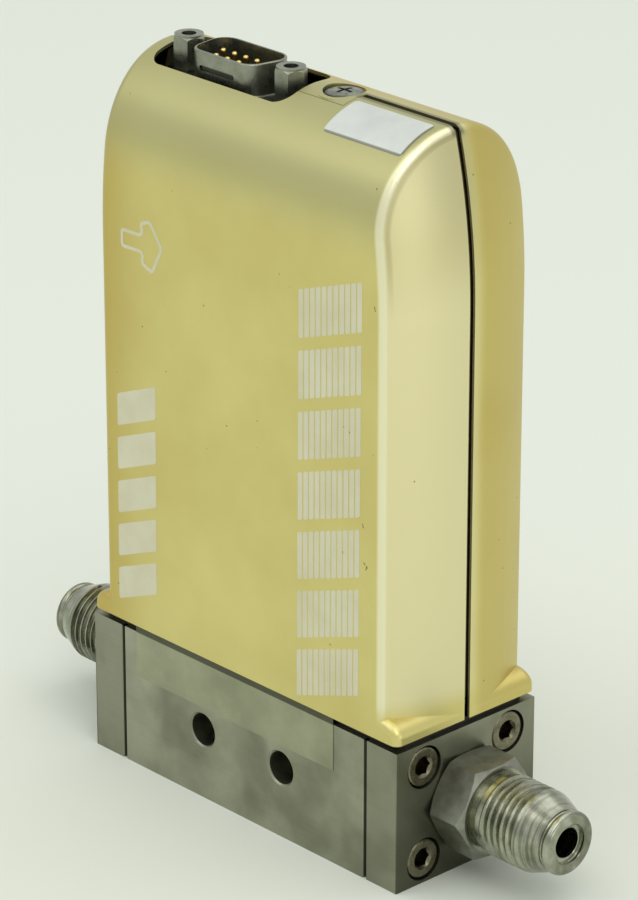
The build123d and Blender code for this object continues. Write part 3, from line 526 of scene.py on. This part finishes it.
def inked(name, outline, rounding):
    """A print's flat shape with rounded corners, left in edit mode, just inside the face of the cover."""
    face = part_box("front_cover")[0].y / MM
    piece = drawn_line(name, [(x, face + INK_SINK, z) for x, z in outline + outline[:1]])
    bpy.ops.mesh.select_all(action="SELECT")
    bpy.ops.mesh.bevel(offset=rounding * MM, segments=4, affect="VERTICES")
    bpy.ops.mesh.select_all(action="SELECT")
    bpy.ops.mesh.edge_face_add()
    return piece


def raise_ink():
    """Give the selected outline of a print the thickness of its ink."""
    bpy.ops.mesh.extrude_region_move(TRANSFORM_OT_translate={"value": (0, -INK_THICKNESS * MM, 0)})


def printed(name, corner, slope, rounding, width, height, *copies):
    """Raised screen print on the front face: one slanted block, repeated along and up the face.

    corner is the block's lower left one, and each of the copies is a count with the offset (x, z)
    from one to the next, all in millimetres.
    """
    left, low = corner
    rise = slope * width
    piece = inked(name, [
        (left, low), (left + width, low + rise), (left + width, low + rise + height), (left, low + height)
    ], rounding)
    raise_ink()
    only(piece)
    for count, (x, z) in copies:
        modifier = piece.modifiers.new("copies", "ARRAY")
        modifier.count = count
        modifier.use_relative_offset = False
        modifier.use_constant_offset = True
        modifier.constant_offset_displace = (x * MM, 0, z * MM)
        bpy.ops.object.modifier_apply(modifier=modifier.name)
    return tidy(piece)


def printed_arrow(name, points, line):
    """Raised outline of an arrow on the front face, drawn with a rounded line this wide."""
    piece = inked(name, points, 0.8)
    bpy.ops.mesh.inset(thickness=line * MM)
    bpy.ops.mesh.delete(type="ONLY_FACE")
    bpy.ops.mesh.select_all(action="SELECT")
    raise_ink()
    return tidy(piece)


def seam_lip(name, side, top_end):
    """The strip behind the seam of one end: up the end wall, over its lean and along the top.

    side is -1 for the inlet end and 1 for the outlet end, and the strip ends at this x on the top,
    in millimetres from the middle.
    """
    foot_x = SEAM_WALL - LIP_DEPTH
    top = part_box("rear_cover")[1].z / MM - LIP_DEPTH
    radius = LEAN_RADIUS - LIP_DEPTH
    tip = math.degrees(math.asin((top - LEAN_START) / radius))
    lean = arc((foot_x - radius, LEAN_START), radius, 0, tip, 4)
    path = [(foot_x, LIP_LOW), *lean, (top_end, top)]
    piece = drawn_line(name, [(side * x, -LIP_WIDTH / 2, z) for x, z in path])
    bpy.ops.mesh.select_all(action="SELECT")
    bpy.ops.mesh.extrude_region_move(TRANSFORM_OT_translate={"value": (0, LIP_WIDTH * MM, 0)})
    only(piece)
    modifier = piece.modifiers.new("sheet", "SOLIDIFY")
    modifier.thickness = LIP_THICKNESS * MM
    modifier.offset = 0
    bpy.ops.object.modifier_apply(modifier=modifier.name)
    return tidy(piece)


class FLOW_OT_prints(bpy.types.Operator):
    """Screen print on the cover: an arrow along the gas flow and two columns of plain slanted blocks"""

    bl_idname = "flow.prints"
    bl_label = "Prints"

    def execute(self, context):
        # Screen ink: thin, pale and matt, a little of the gold shows through
        ink, *_ = surface(
            "pale screen ink", context.scene.flow_finish.ink, linear("CFCBAE"), patch=6, grain=0.25,
            roughness=0.5, metallic=0.3, relief=0.002,
        )
        arrow = [
            (-28.9, 95.7), (-23.6, 95.9), (-23.9, 93.9), (-20.9, 92.8), (-18.2, 97.9), (-21.4, 102.3),
            (-24.1, 101.3), (-23.6, 99.3), (-28.9, 99.2),
        ]
        pieces = (
            printed_arrow("flow_arrow_print", arrow, 0.6),
            printed("left_column_print", (-31.0, 30.6), 0.4, 0.5, 9.9, 5.9, (5, (0.1, 8.1))),
            printed(
                "right_column_print", (14.2, 28.0), 0.35, 0.3, 1.1, 8.4, (11, (1.36, 0.47)), (7, (0.1, 10.6))
            ),
        )
        for piece in pieces:
            finish_piece(piece, ink, "sticker_silver")
        return {"FINISHED"}


class FLOW_OT_cover(bpy.types.Operator):
    """Finish of the two cover halves and the gasket under them, with a lip behind each end of the seam"""

    bl_idname = "flow.cover"
    bl_label = "Cover"

    def execute(self, context):
        settings = context.scene.flow_finish
        dress(gold_anodised(settings), "front_cover", "rear_cover")
        # Moulded nitrile rubber: matt black with a faint grain
        rubber, *_ = surface(
            "moulded nitrile rubber", settings.rubber, linear("0E0C08"), patch=5, grain=0.25, roughness=0.65
        )
        dress(rubber, "cover_gasket")
        # Strip that keeps the light out of the seam, a sheet that stands in for the shade there: dull olive, and
        # dark because it lies so deep
        lip, *_ = surface(
            "seam lip of painted shade", linear("8C825C"), linear("746B4A"), patch=3, grain=0.3, roughness=0.6,
            metallic=0.3,
        )
        # The inlet end's lip stops at the connector's cut-out, the outlet end's at the cover screw
        screw = centre_of("cover_screw").x / MM
        for end, top_end in (("inlet", 30.9), ("outlet", screw + 4.2)):
            finish_piece(seam_lip(f"{end}_seam_lip", ENDS[end], top_end), lip, "gasket_rubber")
        return {"FINISHED"}


# ---------------------------------------------------------------- base
def ground_steel(name, settings, colour, shade):
    """Surface-ground stainless steel: fine lines along the block and cloudy smudges from handling."""
    material, tree, shader, place, _ = surface(
        name, colour, shade, patch=9, grain=0.35, roughness=0.38, spread=0.07,
        metallic=1.0, relief=0.0012, stretch=(0.06, 1, 1),
    )
    along, _, height = add_node(tree, "ShaderNodeSeparateXYZ", (place,))
    outwards = add_node(tree, "ShaderNodeMath", (along,), operation="ABSOLUTE")[0]
    inner, outer = (corner.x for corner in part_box("outlet_end_block"))
    joint = add_node(tree, "ShaderNodeMath", (outwards, inner), operation="SUBTRACT")[0]
    joint = add_node(tree, "ShaderNodeMath", (joint,), operation="ABSOLUTE")[0]
    smudges = add_node(
        tree, "ShaderNodeTexNoise", {"Vector": place, "Scale": per(12), "Detail": 2.0, "Distortion": 0.25}
    )[0]
    repaint(
        tree, shader,
        # Greasy smudges with soft edges
        (mask(tree, (smudges, 0.46, 0.68), top=0.55), settings.steel_smudge),
        # Painted shade on the end faces, deeper towards the bottom
        (mask(tree, (outwards, outer - 0.3 * MM, outer - 0.1 * MM), (height, 32 * MM, 0), top=0.85),
         linear("4E4F40")),
        # Painted shade in the V groove where the end blocks meet the main block
        (mask(tree, (joint, 0.42 * MM, 0.3 * MM), top=0.92), linear("1B1A14")),
    )
    return material


class FLOW_OT_base(bpy.types.Operator):
    """Finish of the main block and the end blocks"""

    bl_idname = "flow.base"
    bl_label = "Base"

    def execute(self, context):
        settings = context.scene.flow_finish
        dress(
            ground_steel("ground stainless steel", settings, settings.steel, settings.steel_shade), "main_block"
        )
        dress(
            ground_steel("milled stainless steel", settings, settings.end_steel, settings.steel_shade),
            "inlet_end_block", "outlet_end_block",
        )
        return {"FINISHED"}


# ---------------------------------------------------------------- fittings and end block screws
def barrel_outline(s, length):
    """Half section of a fitting: spigot, undercut, land, thread blank, tapered nose and sealing bead."""
    undercut = s.thread_radius - 1.1
    land = s.thread_radius - 0.3
    bead = (s.bead_radius - s.bead_section, length - s.bead_section)
    ledge = length - s.ledge_depth
    nose = arc((s.thread_radius - s.nose_round, s.nose_start), s.nose_round, 0, s.nose_angle, 6)
    fall = nose[-1][0] - s.throat_radius - 0.35
    taper_end = nose[-1][1] + fall / math.tan(math.radians(s.nose_angle))
    return [
        (s.bore_radius, -s.spigot_length), (s.spigot_radius - 0.4, -s.spigot_length),
        (s.spigot_radius, -s.spigot_length + 0.4), (s.spigot_radius, 0.3), (undercut, 0.6),
        (undercut, s.land_start - 0.5), (undercut + 0.15, s.land_start - 0.3), (land, s.land_start),
        (land, s.thread_start - 0.4), (s.thread_radius, s.thread_start),
        *nose, (s.throat_radius + 0.35, taper_end), (s.throat_radius + 0.1, taper_end + 0.07),
        (s.throat_radius, taper_end + 0.25), *arc(bead, s.bead_section, -60, 90, 16),
        (s.face_radius + 0.15, length), (s.face_radius, length - 0.15), (s.face_radius - 0.1, ledge),
        (s.bore_radius + 0.1, ledge), (s.bore_radius, ledge - 0.1),
    ]


def fitting_body(s, length):
    """One fitting along +Z, its end block face on the XY plane."""
    barrel = turned("barrel", barrel_outline(s, length), steps=120)
    cutter = thread_cutter(
        "thread", s.thread_radius + 0.16, s.thread_radius - s.thread_depth, s.thread_pitch, s.thread_start,
        s.thread_turns,
    )
    combine(barrel, cutter)
    corner = s.hex_flats / 2 / math.cos(math.pi / 6)
    trim = (corner - s.hex_flats / 2 + 0.25) * math.tan(math.radians(30))
    low = s.hex_flats / 2 - 0.25
    bore = s.thread_radius - 1.2
    nut = hexagon("hexagon", s.hex_flats, 0, s.hex_length)
    envelope = turned("envelope", [
        (bore, 0), (low, 0), (corner, trim), (corner, s.hex_length - trim), (low, s.hex_length),
        (bore, s.hex_length),
    ])
    combine(nut, envelope, "INTERSECT")
    combine(barrel, nut, "UNION")
    return tidy(barrel)


def turned_steel(settings):
    """Turned stainless steel: bright, and streaked round the axis by the tool.

    The hexagon is as milled, so it is matt.
    """
    material, tree, shader, place, patches = surface(
        "turned stainless steel", settings.bright_steel, linear("8C8E7D"), patch=2.5, grain=0.3,
        roughness=0.22, spread=0.08, metallic=1.0, relief=0.003, stretch=(1, 0.05, 0.05),
    )
    drawn = add_node(tree, "ShaderNodeMapping", {"Vector": place, "Scale": (1, 0.04, 0.04)})[0]
    streaks = add_node(
        tree, "ShaderNodeTexNoise", {"Vector": drawn, "Scale": per(0.55), "Detail": 4.0, "Roughness": 0.7}
    )[0]
    _, across, height = add_node(tree, "ShaderNodeSeparateXYZ", (place,))
    rise = add_node(
        tree, "ShaderNodeMath", (height, centre_of("outlet_end_block").z), operation="SUBTRACT"
    )[0]
    squares = [
        add_node(tree, "ShaderNodeMath", (value, 2.0), operation="POWER")[0] for value in (across, rise)
    ]
    radius = add_node(tree, "ShaderNodeMath", squares, operation="ADD")[0]
    radius = add_node(tree, "ShaderNodeMath", (radius,), operation="SQRT")[0]
    milled = mask(tree, (radius, 7.2 * MM, 7.4 * MM))
    repaint(
        tree, shader,
        (mask(tree, (streaks, 0.45, 0.68), top=0.75), linear("5F6152")),
        (milled, painted(tree, linear("9C9F93"), (patches, linear("807F73")))),
    )
    gloss = shader.inputs["Roughness"].links[0].from_socket
    rough = add_node(
        tree, "ShaderNodeMix", {"Factor": milled, "A": gloss, "B": 0.46}, data_type="FLOAT"
    )["Result"]
    tree.links.new(rough, shader.inputs["Roughness"])
    return material


class FLOW_OT_fittings(bpy.types.Operator):
    """Face-seal fittings with a cut thread, domed nose and sealing bead"""

    bl_idname = "flow.fittings"
    bl_label = "Fittings"

    def execute(self, context):
        s = context.scene.flow_fitting
        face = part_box("outlet_end_block")[1].x
        length = (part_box("outlet_fitting")[1].x - face) / MM
        model = fitting_body(s, length)
        steel = turned_steel(context.scene.flow_finish)
        axis = centre_of("outlet_end_block")
        for end, side in ENDS.items():
            piece = copied(model, f"{end}_threaded_fitting")
            placed(piece, (side * face, axis.y, axis.z), facing(side))
            finish_piece(piece, steel, "fitting_steel", f"{end}_fitting")
        bpy.data.objects.remove(model)
        return {"FINISHED"}


def socket_screw(s, shank_length):
    """A socket-head screw along +Z, the top of its head on the XY plane."""
    head = s.screw_head_radius
    edge = 0.45
    shank = head * 4 / 7
    countersink = s.screw_flats / 2 / math.cos(math.pi / 6) + 0.25
    screw = turned("screw", [
        (0, 0), *arc((head - edge, -edge), edge, 90, 0, 6), (head, -s.screw_head_height),
        (shank, -s.screw_head_height), (shank, -s.screw_head_height - shank_length + 0.5),
        (shank - 0.5, -s.screw_head_height - shank_length), (0, -s.screw_head_height - shank_length),
    ], steps=64)
    depth = s.screw_head_height * 0.55
    combine(screw, hexagon("socket", s.screw_flats, -depth, 1))
    combine(screw, turned("countersink", [
        (0, -0.5), (countersink - 0.5, -0.5), (countersink + 0.3, 0.3), (0, 0.3)
    ], steps=48))
    return tidy(screw)


class FLOW_OT_block_screws(bpy.types.Operator):
    """Socket-head screws of the two end blocks"""

    bl_idname = "flow.block_screws"
    bl_label = "Block screws"

    def execute(self, context):
        s = context.scene.flow_fitting
        settings = context.scene.flow_finish
        low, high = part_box("outlet_block_screws")
        middle = centre_of("outlet_block_screws")
        radius = s.screw_head_radius * MM
        across = high.y - radius - middle.y
        up = high.z - radius - middle.z
        model = socket_screw(s, (high.x - low.x) / MM - s.screw_head_height)
        # Satin stainless steel, darker than the blocks, with painted shade from 0.9 mm below the head's top, in the
        # sockets and down the heads' sides
        steel, tree, shader, place, _ = surface(
            "satin stainless screw steel", settings.screw, linear("66624E"), patch=1.2, grain=0.2,
            roughness=0.3, metallic=1.0, relief=0.002,
        )
        along = add_node(tree, "ShaderNodeSeparateXYZ", (place,))["X"]
        outwards = add_node(tree, "ShaderNodeMath", (along,), operation="ABSOLUTE")[0]
        depth = add_node(tree, "ShaderNodeMath", (high.x, outwards), operation="SUBTRACT")[0]
        socket_shade = mask(tree, (depth, 0.5 * MM, 0.9 * MM), top=0.7)
        repaint(tree, shader, (socket_shade, linear("26241A")))
        for end, side in ENDS.items():
            screws = []
            for y, z in ((-across, -up), (-across, up), (across, -up), (across, up)):
                screw = copied(model, "screw")
                screws.append(placed(screw, (side * high.x, middle.y + y, middle.z + z), facing(side)))
            finish_piece(joined(f"{end}_socket_screws", screws), steel, "screw_steel", f"{end}_block_screws")
        bpy.data.objects.remove(model)
        return {"FINISHED"}


# ---------------------------------------------------------------- connector, labels and inside parts
class FLOW_OT_connector(bpy.types.Operator):
    """Finish of the nine-pin connector and its jack posts"""

    bl_idname = "flow.connector"
    bl_label = "Connector"

    def execute(self, context):
        # Tin-plated drawn steel: grey, soft gloss, slightly uneven
        tin, tree, shader, place, _ = surface(
            "tinned drawn steel", linear("A3A596"), linear("85877A"), patch=3, grain=0.4, roughness=0.34,
            metallic=1.0, relief=0.003,
        )
        along, across, height = add_node(tree, "ShaderNodeSeparateXYZ", (place,))
        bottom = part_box("connector_shell")[0].z
        flange = bottom + 0.6 * MM
        middle = centre_of("connector_shell")
        wall = middle.y - 4.68 * MM
        offsets = []
        for value, centre in ((height, bottom + 3.27 * MM), (along, middle.x - 0.45 * MM)):
            offset = add_node(tree, "ShaderNodeMath", (value, centre), operation="SUBTRACT")[0]
            offsets.append(add_node(tree, "ShaderNodeMath", (offset,), operation="ABSOLUTE")[0])
        level, aside = offsets
        repaint(
            tree, shader,
            # Painted shade on the flange, which little light reaches
            (mask(tree, (height, flange + 0.3 * MM, flange - 0.1 * MM), top=0.7), linear("36372F")),
            # Painted shade in the pressed dimple of its front wall
            (mask(tree, (across, wall + 0.1 * MM, wall + 0.25 * MM), (across, wall + 0.46 * MM, wall + 0.43 * MM),
                  (level, 0.6 * MM, 0.5 * MM), (aside, 4.6 * MM, 4.4 * MM), top=0.75), linear("33342C")),
        )
        dress(tin, "connector_shell", "jack_posts")
        # Glass-filled moulding resin: matt black
        resin, *_ = surface(
            "moulded connector resin", linear("1A1915"), linear("100F0C"), patch=2, grain=0.2, roughness=0.55
        )
        dress(resin, "connector_insulator")
        # Gold plate over brass: bright yellow
        gold, *_ = surface(
            "gold plated contact", linear("F0D890"), linear("DDBE66"), patch=0.8, grain=0.15, roughness=0.2,
            metallic=1.0, relief=0.001,
        )
        dress(gold, "connector_pins")
        return {"FINISHED"}


class FLOW_OT_labels(bpy.types.Operator):
    """Film label on the arch and clear film on the block"""

    bl_idname = "flow.labels"
    bl_label = "Labels"

    def execute(self, context):
        settings = context.scene.flow_finish
        # Satin silver polyester film: pale grey with a faint sheen
        film, tree, shader, place, _ = surface(
            "silver polyester film", settings.label, linear("C8CCC8"), patch=6, grain=0.3, roughness=0.42,
            metallic=0.25, relief=0.001,
        )
        # Painted shadow along its lower edge and its end
        low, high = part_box("arch_sticker")
        along, across, _ = add_node(tree, "ShaderNodeSeparateXYZ", (place,))
        edges = [
            mask(tree, (value, edge + 0.4 * inwards * MM, edge + 0.15 * inwards * MM), top=0.75)
            for value, edge, inwards in ((across, low.y, 1), (along, high.x, -1))
        ]
        painted_shade = add_node(tree, "ShaderNodeMath", edges, operation="MAXIMUM")[0]
        repaint(tree, shader, (painted_shade, linear("5A5B4C")))
        dress(film, "arch_sticker")
        # Clear film over ground steel: the metal shows through, darker and glossier
        tape, tree, shader, place, _ = surface(
            "clear film over steel", settings.tape, linear("8F9179"), patch=12, grain=1.5, roughness=0.3,
            spread=0.03, metallic=0.8, relief=0.0008,
        )
        # Where it is stuck over the gasket, that shows through dark
        height = add_node(tree, "ShaderNodeSeparateXYZ", (place,))["Z"]
        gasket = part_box("cover_gasket")[0].z
        over = mask(tree, (height, gasket - 0.1 * MM, gasket + 0.1 * MM), top=0.8)
        repaint(tree, shader, (over, linear("2C2B20")))
        dress(tape, "block_tape")
        return {"FINISHED"}


class FLOW_OT_inside(bpy.types.Operator):
    """Finishes of the parts inside the cover and the base"""

    bl_idname = "flow.inside"
    bl_label = "Inside parts"

    def execute(self, context):
        finishes = (
            # Machined steel of the sensor, the valve and the small screws: satin grey
            ("machined inner steel", "9FA09A", "83847E", 0.32, 1.0, (
                "sensor_base", "sensor_tube", "sensor_cover", "sensor_screws", "valve_seat", "valve_spacer_ring",
                "valve_diaphragm", "valve_base", "valve_plunger", "valve_screws", "actuator_housing", "stack_pads",
                "adjusting_screw", "lock_nut", "chassis_screws", "board_screws", "board_standoffs",
                "cover_screw_post", "bypass_element", "bypass_retainer", "inlet_filter",
            )),
            # Mill-finish aluminium sheet: pale grey with rolling lines
            ("mill finish aluminium", "B4B5AE", "9B9C95", 0.38, 1.0, ("chassis",)),
            # Fluorocarbon rubber of the ring seals: black
            ("ring seal rubber", "100F0E", "0A0A09", 0.6, 0.0, (
                "inlet_block_seal", "outlet_block_seal", "inlet_fitting_seal", "outlet_fitting_seal",
                "sensor_port_seals",
            )),
            # Enamelled copper wire: red-brown gloss
            ("enamelled copper wire", "A8562E", "8A4322", 0.3, 0.7, ("sensor_windings",)),
            # Lacquered ceramic of the actuator stack: buff
            ("lacquered piezo ceramic", "B8A27C", "A58E68", 0.4, 0.0, ("actuator_stack",)),
            # Solder mask on glass-fibre laminate: dark green
            ("solder mask laminate", "14502C", "0F4023", 0.35, 0.0, ("main_board", "connector_board")),
            # Moulded epoxy of the chips: matt black
            ("moulded epoxy", "1B1B1A", "131312", 0.55, 0.0, ("board_chips",)),
            # Glossy thermoplastic of the trimmers: blue
            ("trimmer plastic", "2C5FA8", "234E8E", 0.3, 0.0, ("board_trimmers",)),
            # Sleeved cans of the capacitors: silver grey
            ("capacitor can", "8E959C", "787F86", 0.3, 0.8, ("board_capacitors",)),
        )
        for name, colour, shade, roughness, metallic, nodes in finishes:
            material, *_ = surface(
                name, linear(colour), linear(shade), patch=4, grain=0.3, roughness=roughness, metallic=metallic
            )
            dress(material, *nodes)
        # Zinc plate: pale grey and satin, with painted shade in the cross recess and low on the head
        zinc, tree, shader, place, _ = surface(
            "zinc plated steel", linear("AEB0A6"), linear("74766B"), patch=0.9, grain=0.2, roughness=0.32,
            metallic=1.0, relief=0.002,
        )
        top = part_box("cover_screw")[1].z
        height = add_node(tree, "ShaderNodeSeparateXYZ", (place,))["Z"]
        painted_shade = mask(tree, (height, top - 0.2 * MM, top - 0.4 * MM), top=0.9)
        repaint(tree, shader, (painted_shade, linear("24231B")))
        dress(zinc, "cover_screw")
        return {"FINISHED"}


# ---------------------------------------------------------------- stage
class FLOW_OT_stage(bpy.types.Operator):
    """Camera, pale floor and soft studio light"""

    bl_idname = "flow.stage"
    bl_label = "Stage"

    def aim(self, location, target):
        """The rotation that points a camera or a lamp at a target."""
        return (Vector(target) - Vector(location)).to_track_quat("-Z", "Y").to_euler()

    def add_camera(self, context, s):
        flat = math.cos(s.elevation) * s.distance
        location = Vector(s.target) + Vector(
            (math.sin(s.azimuth) * flat, -math.cos(s.azimuth) * flat, math.sin(s.elevation) * s.distance)
        )
        bpy.ops.object.camera_add(location=location, rotation=self.aim(location, s.target))
        camera = context.object
        camera.name = "camera"
        camera.data.sensor_width = 36
        camera.data.lens = s.lens
        camera.data.shift_y = s.shift
        camera.data.clip_start = 0.01
        context.scene.camera = camera

    def add_floor(self, context, s):
        bpy.ops.object.select_all(action="DESELECT")
        bpy.ops.mesh.primitive_plane_add(size=6)
        floor = context.object
        floor.name = "floor"
        card, *_ = surface(
            "matt pale card", s.floor_colour, s.floor_colour, patch=400, grain=2, roughness=0.8, relief=0.001
        )
        floor.data.materials.append(card)

    def add_lamps(self, context):
        middle = (0, 0, 0.06)
        lamps = (
            # name, place in metres, side in metres, power in watts
            ("key", (-0.5, -0.9, 1.5), 1.4, 6.0),
            ("fill", (0.9, -0.5, 1.3), 1.0, 6.0),
            ("side", (1.0, 0.06, 0.08), 0.4, 0.7),
            ("top", (0.2, 0.6, 1.6), 1.4, 5.0),
        )
        for name, place, side, power in lamps:
            bpy.ops.object.light_add(type="AREA", location=place, rotation=self.aim(place, middle))
            lamp = context.object
            lamp.name = f"{name}_softbox"
            lamp.data.shape = "SQUARE"
            lamp.data.size = side
            lamp.data.energy = power

    def add_world(self, context, s):
        world = context.scene.world or bpy.data.worlds.new("surroundings")
        context.scene.world = world
        world.use_nodes = True
        background = world.node_tree.nodes["Background"]
        background.inputs["Color"].default_value = opaque(s.sky_colour)
        background.inputs["Strength"].default_value = s.sky_strength

    def execute(self, context):
        settings = context.scene.flow_view
        self.add_camera(context, settings)
        self.add_floor(context, settings)
        self.add_lamps(context)
        self.add_world(context, settings)
        context.scene.view_settings.view_transform = "Standard"
        return {"FINISHED"}


# ---------------------------------------------------------------- panel and registration
class FLOW_PT_pieces(bpy.types.Panel):
    """Sidebar panel with the settings and one button for each group of pieces"""

    bl_idname = "FLOW_PT_pieces"
    bl_label = "Flow Controller"
    bl_space_type = "VIEW_3D"
    bl_region_type = "UI"
    bl_category = "Flow Controller"

    def draw(self, context):
        for attribute, group in SETTINGS.items():
            column = self.layout.column()
            for name in group.__annotations__:
                column.prop(getattr(context.scene, attribute), name)
        for operator in OPERATORS:
            self.layout.operator(operator.bl_idname)


SETTINGS = {"flow_view": FlowViewSettings, "flow_fitting": FlowFittingSettings, "flow_finish": FlowFinishSettings}
OPERATORS = (
    FLOW_OT_cover, FLOW_OT_prints, FLOW_OT_base, FLOW_OT_fittings, FLOW_OT_block_screws, FLOW_OT_connector,
    FLOW_OT_labels, FLOW_OT_inside, FLOW_OT_stage,
)
CLASSES = (*SETTINGS.values(), *OPERATORS, FLOW_PT_pieces)


def register():
    for one in CLASSES:
        bpy.utils.register_class(one)
    for attribute, group in SETTINGS.items():
        setattr(bpy.types.Scene, attribute, PointerProperty(type=group))


def unregister():
    for attribute in SETTINGS:
        delattr(bpy.types.Scene, attribute)
    for one in reversed(CLASSES):
        bpy.utils.unregister_class(one)


def main():
    register()
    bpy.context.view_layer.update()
    bpy.ops.flow.cover()
    bpy.ops.flow.prints()
    bpy.ops.flow.base()
    bpy.ops.flow.fittings()
    bpy.ops.flow.block_screws()
    bpy.ops.flow.connector()
    bpy.ops.flow.labels()
    bpy.ops.flow.inside()
    bpy.ops.flow.stage()


if __name__ == "__main__":
    main()
